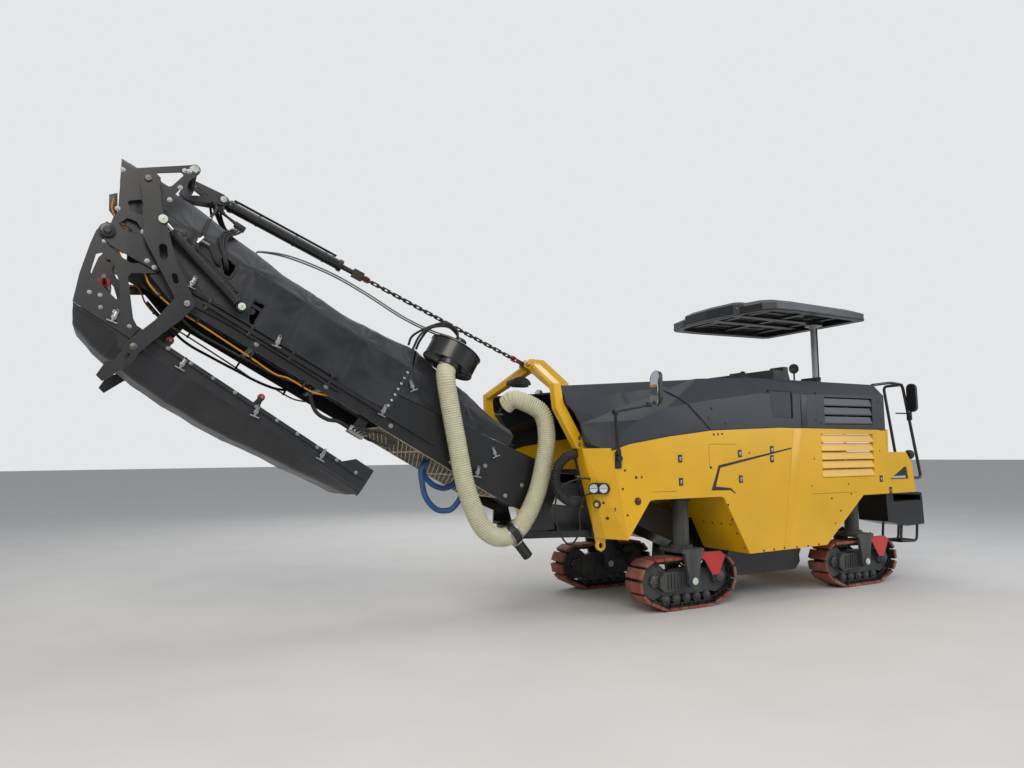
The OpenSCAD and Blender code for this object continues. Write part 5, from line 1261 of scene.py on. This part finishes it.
# Fan on the tent: rolled rims, ribs and bolts, motor with its hoses, and the hose collar
FAN = (1560, 330)
bm = kit("fan_rims", "black_enamel", "conveyor")
turned(bm, [(258, 741), (268, 739), (270, 748), (262, 754), (262, 925), (272, 930), (272, 940), (262, 946),
            (120, 947), (110, 941), (256, 941), (256, 741)], (*FAN, 0), sides=56)
for inner, outer in zip(circle(10, 110, *FAN), circle(10, 250, *FAN)):
    tube(bm, [(*inner, 946), (*outer, 946)], 6, 8)
turned(bm, [(95, 991), (92, 997), (62, 999), (62, 1050), (56, 1058), (20, 1060), (0, 1060)], (*FAN, 0),
       sides=32)
turned(bm, [(108, 690), (112, 694), (112, 734), (104, 742), (88, 742), (88, 690)], (1600, 488, 0), sides=40)
bolts("fan_bolts", [((*p, 946), (0, 0, 1)) for p in circle(16, 235, *FAN)], "zinc_steel", "conveyor", 16, 7)
for k, (x, y, z) in enumerate(((1900, 250, 735), (1940, 300, 700), (1975, 200, 745))):
    hosed(kit("fan_hoses", "hose_rubber", "conveyor"),
          [(1580 + 12 * k, 310 + 18 * k, 1044), (1625 + 14 * k, 300 + 12 * k, 1090 + 14 * k),
           (1740 + 20 * k, 290, 1105 + 10 * k), (1880 + 10 * k, 280 - 10 * k, 1000), (x + 10, y + 10, 850),
           (x, y, z)], 12)

# Bands on the suction hose, and the clamp with the drain branch at its bottom, in the machine's own place
bands = kit("hose_bands", "zinc_steel", "conveyor", HERE)
turned(bands, band(98, 101, 0, 12), at_conveyor(1600, 488, 664), CONVEYOR.to_3x3() @ Vector((0, 0, 1)), 40)
joint_at, joint_way = Vector((3338, HOSE_Y, 868)), Vector((-0.83, 0, 0.56))
for start in (38, -54):
    turned(bands, band(98, 102, start, 16), joint_at, joint_way, 40)
turned(kit("hose_joint", "black_plastic", "conveyor", HERE),
       [(94, -44), (99, -44), (104, -36), (104, 36), (99, 44), (94, 44)], joint_at, joint_way, 40)
branch = [joint_at + Vector((-22, 0, -50)), (3262, HOSE_Y, 760), (3205, HOSE_Y, 690), (3165, HOSE_Y, 640)]
corrugated("drain_branch", smooth_path(branch, 40), 50, 14, 5, "black_plastic", "conveyor", HERE)
turned(bands, band(53, 57, 0, 14), (3286, HOSE_Y, 792), (-0.62, 0, -0.78), 32)

# Thin grey lines from an eyelet in the cover, under the luffing rod, to the fan's motor
for o in (0, 16):
    hosed(kit("grey_lines", "grey_hose_plastic", "conveyor"),
          [(3620, 60 + o, 700), (3584, 60 + o, 752), (3349, 50 + o, 858 + o), (2949, 50 + o, 950 + o),
           (2572, 60 + o, 978 + o), (2149, 120 + o, 968 + o), (1850, 200 + o, 985 + o),
           (1700, 270 + o, 1010 + o),
           (1622, 306 + o, 1034)], 8, 8)

# Hood: seals round the split and the windows, seams, pilasters, fixings and the lid's handles
SPLIT_TOP, SPLIT_LOW = Vector((1795, 2401)), Vector((1217, 1887))
WINDOW = [(333, 2343), (-38, 2335), (-38, 2026), (290, 2040)]
bpy.context.view_layer.update()
hood_skins = [BVHTree.FromPolygons([nodes[n].matrix_world @ v.co for v in nodes[n].data.vertices],
                                   [f.vertices[:] for f in nodes[n].data.polygons]) for n in ("hood_front",
                                   "hood_rear")]


def on_hood(x, z, s):
    """The place on the hood's side skin at an x and z, found just beside the gap of the split."""
    starts = [MACHINE @ Vector((x + beside, s * 1400, z)) for beside in (-16, 16)]
    hits = [tree.ray_cast(p, Vector((0, -s, 0)))[0] for tree in hood_skins for p in starts]
    reached = [(MACHINE.inverted() @ h).y for h in hits if h is not None]
    return Vector((x, max(reached, key=lambda y: y * s), z)) if reached else None


for s in SIDES:
    line = [on_hood(*SPLIT_LOW.lerp(SPLIT_TOP, k / 24), s) for k in range(25)]
    tube(kit("split_gasket", "hose_rubber"), [p for p in line if p is not None], 10, 8)
pair_rim(kit("window_gaskets", "hose_rubber"), grown_outline(WINDOW, -12), grown_outline(WINDOW, 10), 1079,
         1094)
TOP_LINE = [(2517, 1681), (2300, 1745), (1800, 1822), (1214, 1888), (185, 1926), (-1652, 1911)]
pair(kit("hood_edge_seal", "hose_rubber"),
     [(x, z + 1) for x, z in TOP_LINE] + [(x, z - 7) for x, z in reversed(TOP_LINE)], 1092, 1100.5)
for x, top_z in ((-165, 2318), (-265, 2330), (-430, 2345)):
    pair(kit("hood_seams", "black_plastic"), [(x, 1930), (x + 5, 1930), (x + 5, top_z), (x, top_z)], 1090,
         1098.8)
pair(kit("hood_pilasters", "anthracite_enamel"), [(-262, 1934), (-170, 1934), (-170, 2296), (-262, 2300)],
     1090, 1103, 2)
for at in ((-417, 2016), (-1581, 2048), (-1540, 2250), (1190, 2120), (1240, 2020), (-500, 1975),
           (1000, 1960)):
    pair_cap(kit("hood_fixings", "black_plastic"), at, 1096, 15, 7)
pair_hose(kit("lid_handles", "black_plastic"),
          [(1520, 905, 2120), (1520, 935, 2135), (1660, 935, 2140), (1660, 905, 2126)], 9)

# Side panels: pilaster, stripe, latches, plugs, seams and edge bolts
pair(kit("panel_pilasters", "signal_yellow_enamel"), [(-30, 1908), (-180, 1910), (118, 572), (200, 576)],
     1096, 1104, 2.5)
STRIPE = ribbon([(18, 1688), (1115, 1498), (1208, 1268), (967, 1255), (900, 1205)], [16, 30, 44, 24, 12])
pair(kit("panel_stripes", "black_enamel"), STRIPE, 1097, 1101)
for x, z in ((1654, 1589), (1651, 1351), (816, 1634), (815, 1358), (330, 1674), (333, 1572), (-1520, 1306),
             (-1690, 1160)):
    pair_box(kit("panel_latches", "black_plastic"), (x - 27, 1097, z - 40), (x + 27, 1104, z + 40), 2)
    pair_box(kit("latch_paddles", "zinc_steel"), (x - 13, 1101, z - 24), (x + 13, 1107, z + 16), 1.5)
for x, z, r in ((2224, 1409, 15), (2156, 1408, 11), (1238, 1491, 15), (674, 1640, 10), (-349, 1563, 9),
                (-290, 1252, 9),
                (-921, 1260, 10), (-614, 1098, 12), (-655, 808, 10), (-1519, 1648, 9)):
    pair_cap(kit("panel_plugs", "black_plastic"), (x, z), 1099, r, 5)
MARKER = (2211, 1101, 1173)
pair_turned(kit("side_marker_lamps", "red_lens"), [(0, 0), (26, 0), (25, 10), (16, 17), (0, 19)], MARKER,
            sides=28)
pair_turned(kit("side_marker_rings", "black_plastic"), [(24, -2), (38, -2), (38, 6), (32, 9), (24, 9)],
            MARKER, sides=28)
for line in ([(1250, 1736), (870, 1736)], [(1257, 1736), (1257, 1505)], [(2021, 1256), (1700, 1256)],
             [(-300, 1160), (-1080, 1160)], [(-1655, 1700), (-1655, 1900)]):
    pair(kit("panel_seams", "black_plastic"), ribbon(line, [3.5] * 2), 1098, 1100.7)
points = ((515, 573), (358, 576), (196, 582), (0, 580), (-180, 580), (-360, 585), (1010, 1090), (960, 930),
          (900, 780),
          (800, 620), (-1560, 1905), (-1600, 1905), (-1640, 1905), (1180, 1840), (1120, 1843), (1060, 1846),
          (-960, 1140), (-760, 950), (2360, 1480), (2390, 1300), (2340, 1040))
bolts("panel_bolts", side_rows(points, 1100), "black_enamel", "root", 15, 6)
wall_at, wall_out = (880.5, 866.5), Vector((0.87, 0, -0.49))
rows = [((wall_at[0], s * y, wall_at[1]), wall_out) for s in SIDES for y in (570, 710, 850, 990)]
bolts("bay_wall_bolts", rows, "black_enamel", "root", 15, 6)


# Front corners: lamps in a black housing, hose grommets and fixtures on the sloping face
def corner_point(y, z, s, out=0.0):
    """A place on the corner's sloping face and the direction out of it."""
    along = (1100 - y) / 200
    low, high = 2344.3 + 119.7 * along, 2521 + 208 * along
    rise = (z - 800) / 900
    away = Vector((1, (119.7 + rise * 88.3) / 200 * s, -(high - low) / 900)).normalized()
    return Vector((low + rise * (high - low), s * y, z)) + away * out, away


LAMP_AT, LAMP_TURN = Vector((2565, 959, 1305)), math.radians(40.9)
lamp_way = Vector((math.cos(LAMP_TURN), math.sin(LAMP_TURN), 0))
lamp_side = Vector((-lamp_way.y, lamp_way.x, 0))
LAMP_PARTS = [
    ("head_lamp_rings", "black_plastic", [(40, -6), (52, -6), (54, 2), (52, 9), (46, 10), (42, 5), (40, 0)],
     36),
    ("head_lamp_reflectors", "mirror_silver",
     [(0, -3), (12, -3), (30, 0.5), (42, 1.5), (42, 2.5), (28, 2), (0, 1)], 32),
    ("head_lamp_lenses", "lamp_glass", [(0, 4), (44, 4), (44, 6), (30, 11), (0, 14)], 36)]
for offset in (-50, 50):
    for name, finish, profile, sides in LAMP_PARTS:
        pair_turned(kit(name, finish), profile, LAMP_AT + lamp_side * offset + lamp_way * 50, lamp_way, sides)
for s, side in ((-1, "right"), (1, "left")):
    for y, z, r, high, finish in ((905, 1150, 40, 22, "black_plastic"),
                                  (905, 1150, 22, 40, "hose_polyurethane"),
                                  (962, 1165, 17, 12, "black_plastic"), (1040, 1105, 19, 12, "black_plastic"),
                                  (963, 1012, 17, 14, "black_plastic"), (1040, 1090, 9, 20, "zinc_steel")):
        turned(kit("corner_fixtures_" + finish, finish),
               [(0, 0), (r, 0), (r, high * 0.7), (r * 0.7, high), (0, high)],
               *corner_point(y, z, s))
    rows = [corner_point(y, z, s, 0.5) for y,
            z in ((1070, 930), (940, 930), (1075, 1620), (930, 1640), (930, 1490),
                                                   (1070, 1230), (920, 1420), (1080, 1420))]
    bolts("corner_bolts_" + side, rows, "signal_yellow_enamel", "root", 18, 7)

# Mirrors: clamp and arm joints, and the glass, flat below and leaning back above, in its rim
bm = kit("mirror_joints", "black_plastic")
for at, axis in (((2496, 1150, 2050), (1, 0, 0.2)), ((2100, 1178, 2134), (1, 0, 0)),
                 ((1995, 1190, 2215), (0, 0, 1)),
                 ((2450, 1128, 1660), (0.1, 0, 1))):
    pair_turned(bm, [(16, -26), (23, -26), (25, -20), (25, 20), (23, 26), (16, 26)], at, axis, 20)
pair_box(bm, (2405, 1100, 1500), (2480, 1112, 1660), 3)
GLASS_LOW, GLASS_HIGH, GLASS_ROUND, GLASS_HALF = 2122, 2483, 66, 62
glass = kit("mirror_glass", "mirror_silver")
for s in SIDES:
    rows = []
    for k in range(17):
        z = 2130 + 345 * k / 16
        end = min(z - GLASS_LOW, GLASS_HIGH - z, GLASS_ROUND)
        half = GLASS_HALF * math.sqrt(max(0.02, 1 - (1 - end / GLASS_ROUND) ** 2))
        x = 2043.5 - max(0, z - 2333) * 26 / 148
        rows.append([glass.verts.new((x + d, s * 1190 + half * c, z)) for c,
                     d in ((-1, 0), (1, 0), (1, -4), (-1, -4))])
    close_sides(glass, rows)
    glass.faces.new(rows[0])
    glass.faces.new(rows[-1])

# Mast: pins, the harness down its legs and the half-round pad
bm = kit("mast_pins", "zinc_steel")
pair_turned(bm, [(0, 0), (26, 0), (26, 6), (18, 10), (0, 10)], (2870, 65, 2628))
pair_turned(bm, [(0, 0), (30, 0), (30, 6), (20, 10), (0, 10)], (2790, 60, 2635))
for k in range(5):
    o, inward = 17 * k, 5.1 * k
    pair_hose(kit("harness_hoses", "hose_rubber"),
              [(2520 + o * 0.5, 650, 2270 - o), (2640 + o * 0.6, 724, 2300 - 12 * k),
               (2750 + o * 0.4, 742 - inward, 2230),
               (2800 + o * 0.5, 732 - inward, 2090), (2700 + o, 722 - inward, 1900),
               (2640 + o, 716 - inward, 1700),
               (2610 + o * 0.5, 712 - inward, 1450), (2560 + o * 0.5, 700 - inward, 1200)], 10, 8)
for x, y, z in ((2822, 724, 2120), (2690, 714, 1760), (2640, 714, 1420)):
    pair_box(kit("harness_clips", "zinc_steel"), (x - 50, y - 14, z - 9), (x + 52, y + 28, z + 9), 2)
for s, side in ((-1, "right"), (1, "left")):
    rows = [((x, s * 846, z), (0, s, 0)) for x in (2660, 2726) for z in (1740, 1810)]
    bolts("mast_foot_bolts_" + side, rows, "zinc_steel", "root", 24, 9)
arc = [math.radians(a) for a in range(175, 0, -14)]
outline = [(2830, 2400)] + [(2950 + 120 * math.cos(t), 2405 + 84 * math.sin(t)) for t in arc] + [(3070, 2400)]
prism(kit("half_round_pad", "hose_rubber"), outline, -70, 70, 4)
box(kit("pad_bracket", "black_enamel"), (2850, -50, 2380), (3010, 50, 2404), 3)

# Rear: work lights, tail lamps, plates, step treads, handrail feet and bolts
bm = kit("work_light_housings", "black_plastic")
pair_turned(bm, [(0, 0), (40, 4), (58, 30), (60, 70), (56, 74), (50, 72), (46, 60), (0, 40)],
            (-2250, 960, 1600),
            (-1, 0, -0.1), 28)
pair_turned(kit("work_light_lenses", "lamp_glass"), [(0, 58), (49, 62), (49, 66), (0, 72)],
            (-2250, 960, 1600),
            (-1, 0, -0.1), 28)
pair_box(bm, (-2275, 930, 1500), (-2255, 990, 1560), 3)
pair_rod(bm, (-2262, 960, 1520), (-2262, 960, 1580), 9)
pair_box(bm, (-2352, 940, 2040), (-2318, 1000, 2150), 5)
pair_rod(bm, (-2120, 930, 2130), (-2330, 960, 2130), 9)
TAIL_OUT = (-0.99, 0, 0.13)
pair_turned(kit("tail_lamp_lenses", "red_lens"), [(0, 0), (44, 0), (42, 8), (0, 12)], (-2200, 950, 1448),
            TAIL_OUT, 32)
pair(kit("tail_triangle", "black_enamel"), [(-1686, 1294), (-2052, 1294), (-2024, 1436), (-1992, 1445)],
     1087.5, 1090)
pair(kit("tail_reflector", "grey_enamel"), [(-1700, 1304), (-2010, 1304), (-2008, 1334), (-1706, 1330)],
     1089, 1092, 1)
for x in range(-2444, -1963, 60):
    pair_box(kit("step_treads", "mesh_steel"), (x, 580, 1000), (x + 10, 960, 1007), 1)
pair_turned(kit("handrail_feet", "black_enamel"), [(19, 0), (36, 0), (36, 8), (24, 14), (19, 14)],
            (-1690, 930, 2475),
            (0, 0, 1), 20)
rows = [((-2184 + 0.13 * (z - 1130), y, z), TAIL_OUT) for z in (1180, 1420) for y in range(-900, 901, 225)]
bolts("tail_bolts", rows, "black_enamel", "root", 18, 7)

# Operators' platform: console top, monitors, joysticks, knobs and floor studs
bm = kit("console_top", "black_plastic")
box(bm, (-636, -540, 2476), (-352, 540, 2500), 8)
pair_box(bm, (-700, 250, 2560), (-610, 470, 2720), 10)
pair_box(kit("monitor_glass", "tinted_glass"), (-706, 262, 2574), (-698, 458, 2706), 3)
pair_rod(bm, (-600, 360, 2480), (-650, 360, 2600), 16)
pair_turned(bm, [(0, 0), (52, 4), (60, 22), (60, 60), (54, 66), (48, 60), (0, 50)], (-860, 420, 2700),
            (0.7, 0.6, 0.1), 28)
pair_rod(bm, (-860, 420, 2500), (-860, 420, 2690), 11)
pair_box(bm, (-960, 470, 2340), (-640, 540, 2400), 12)
for k in range(5):
    pair_turned(kit("console_knobs", "signal_red_enamel" if k == 2 else "black_plastic"),
                [(0, 0), (16, 0), (16, 12), (11, 18), (0, 19)], (-590, 130 + 74 * k, 2501), (0, 0, 1), 16)
    y = 120 + 80 * k
    pair_rod(bm, (-520, y, 2500), (-535, y, 2560), 6)
    pair_turned(bm, [(0, 0), (13, 4), (15, 16), (9, 26), (0, 28)], (-535, y, 2556), (-0.2, 0, 1), 14)
bm = bmesh.new()
turned(bm, [(15, 0), (13, 3), (6, 3.5), (0, 3.5)], (0, 0, 0), sides=8)
rows = [((x, y, 1700), (0, 0, 0)) for x in range(-1660, -420, 74) for y in range(-510, 511, 62)]
repeated("floor_studs", bm, rows, "black_enamel", "root")

# Canopy: post with its rings and cable, edge trim, lamps and the lining's ribs
POST = (-1530, 200)
bm = kit("post_rings", "grey_enamel")
turned(bm, [(45, 0), (100, 0), (100, 14), (60, 20), (52, 60), (45, 62)], (*POST, 1720), sides=40)
turned(bm, [(45, 0), (52, 2), (60, 30), (110, 38), (110, 48), (45, 48)], (*POST, 3300), sides=40)
tube(kit("post_cable", "hose_rubber"), [(POST[0], POST[1] + 51, z) for z in range(1760, 3321, 60)], 7)
for z in range(1900, 3300, 350):
    turned(kit("post_clips", "zinc_steel"), band(45.5, 49, 0, 12), (*POST, z), sides=32)
bolts("post_bolts", [((*p, 1734), (0, 0, 1)) for p in circle(8, 78, *POST)], "zinc_steel", "root", 22, 10)
RIGHT_EDGE = [(-1750, -800), (-1700, -850), (-400, -935), (-60, -910), (60, -800), (110, -540)]
edge = RIGHT_EDGE + [(x, -y) for x, y in RIGHT_EDGE[::-1]]
bm = kit("canopy_trim", "black_plastic")
tube(bm, [(x, y, 3340) for x, y in edge[-1:] + edge + edge[:1]], 9, 8)
pair_hose(bm, [(30, 700, 3350), (60, 690, 3385), (60, 620, 3392), (36, 610, 3356)], 7)
pair_cap(kit("canopy_bolts", "zinc_steel"), (140, 3400), 470, 12, 6)
for x in (-300, -1200):
    for name, finish, profile in (
            ("canopy_lamps", "lamp_glass", [(0, 0), (52, 0), (52, 12), (44, 18), (0, 20)]),
            ("canopy_lamp_rings", "black_plastic", [(52, 0), (66, 0), (66, 14), (56, 22), (52, 22)])):
        pair_turned(kit(name, finish), profile, (x, 400, 3406), (0, 0, -1))
for y in range(-640, 641, 160):
    box(kit("lining_ribs", "black_plastic"), (-1560, y - 5, 3392), (-120, y + 5, 3405), 2)


# Seats: crowned cushions swollen by cloth pressure
CLOTH_FRAMES, SWELL = 20, 0.014


def cushion(name, low, high, lean, at):
    """A pad that starts as a slightly smaller rounded block and swells under pressure."""
    bm = bmesh.new()
    inset = 12
    box(bm, [a + inset for a in low], [b - inset for b in high], min(b - a for a, b in zip(low, high)) * 0.28)
    bm.transform(Matrix.Translation(at) @ Matrix.Rotation(lean, 4, "Y"))
    bmesh.ops.remove_doubles(bm, verts=bm.verts, dist=0.01)
    bmesh.ops.recalc_face_normals(bm, faces=bm.faces)
    bm.transform(MACHINE)
    obj = placed(name, settled_mesh(name, bm, None), "root")
    bpy.context.view_layer.objects.active = obj
    remesh = obj.modifiers.new("remesh", "REMESH")
    remesh.mode, remesh.voxel_size = "VOXEL", 0.009
    bpy.ops.object.select_all(action="DESELECT")
    obj.select_set(True)
    bpy.ops.object.modifier_apply(modifier="remesh")
    start = [v.co.copy() for v in obj.data.vertices]
    run = obj.modifiers.new("cloth", "CLOTH")
    run.settings.use_pressure = True
    run.settings.uniform_pressure_force = 4
    run.settings.effector_weights.gravity = 0
    run.point_cache.frame_start, run.point_cache.frame_end = 1, CLOTH_FRAMES
    for frame_number in range(1, CLOTH_FRAMES + 1):
        scene.frame_set(frame_number)
    bpy.ops.object.modifier_apply(modifier="cloth")
    scene.frame_set(1)
    for v, p in zip(obj.data.vertices, start):
        move = v.co - p
        if move.length > SWELL:
            v.co = p + move.normalized() * SWELL
    smooth(obj.data)
    obj.data.materials.clear()
    obj.data.materials.append(M["seat_vinyl"])
    return obj


seat_pads = []
bm = kit("seat_frames", "black_plastic")
for x, y, side in ((-1050, -300, "right"), (-1050, 300, "left")):
    seat_pads.append(cushion("seat_cushion_" + side, (-190, -190, 440), (190, 190, 512), 0, (x, y, 1700)))
    seat_pads.append(cushion("seat_back_" + side, (-40, -172, 0), (40, 172, 440), -0.16, (x - 196, y, 2210)))
    turned(bm, [(60, 0), (110, 0), (110, 16), (70, 26), (60, 26)], (x, y, 1700), sides=32)
    turned(bm, [(0, 0), (58, 0), (58, 300), (48, 310), (48, 420), (0, 420)], (x, y, 1700), sides=28)
    box(bm, (x - 190, y - 180, 2110), (x + 170, y + 180, 2138), 8)
    for s in SIDES:
        arm = y + s * 196
        stile = [(x - 150, y + s * 150, 2130), (x - 205, y + s * 150, 2180), (x - 238, y + s * 150, 2400),
                 (x - 262, y + s * 140, 2600)]
        tube(bm, smooth_path(stile, 16), 12)
        box(bm, (x - 150, arm - 22, 2330), (x + 120, arm + 22, 2366), 10)
        rod(bm, (x - 120, arm, 2140), (x - 120, arm, 2336), 13)
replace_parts(seat_pads[0], "operator_seats")

# Front loom: a corrugated duct, fixed at both ends
duct = [(2600, 690, 1660), (2700, 742, 1655), (2830, 768, 1620), (2935, 772, 1520), (2962, 772, 1400),
        (2925, 772, 1270), (2830, 768, 1190), (2720, 752, 1165), (2600, 690, 1170)]
corrugated("front_loom_duct", smooth_path(duct, 80), 46, 24, 9, "hose_rubber", "root")

for (name, finish, body), (bm, place) in kits.items():
    for v in bm.verts:
        v.co = place @ v.co
    piece(name, bm, finish, body, HERE)
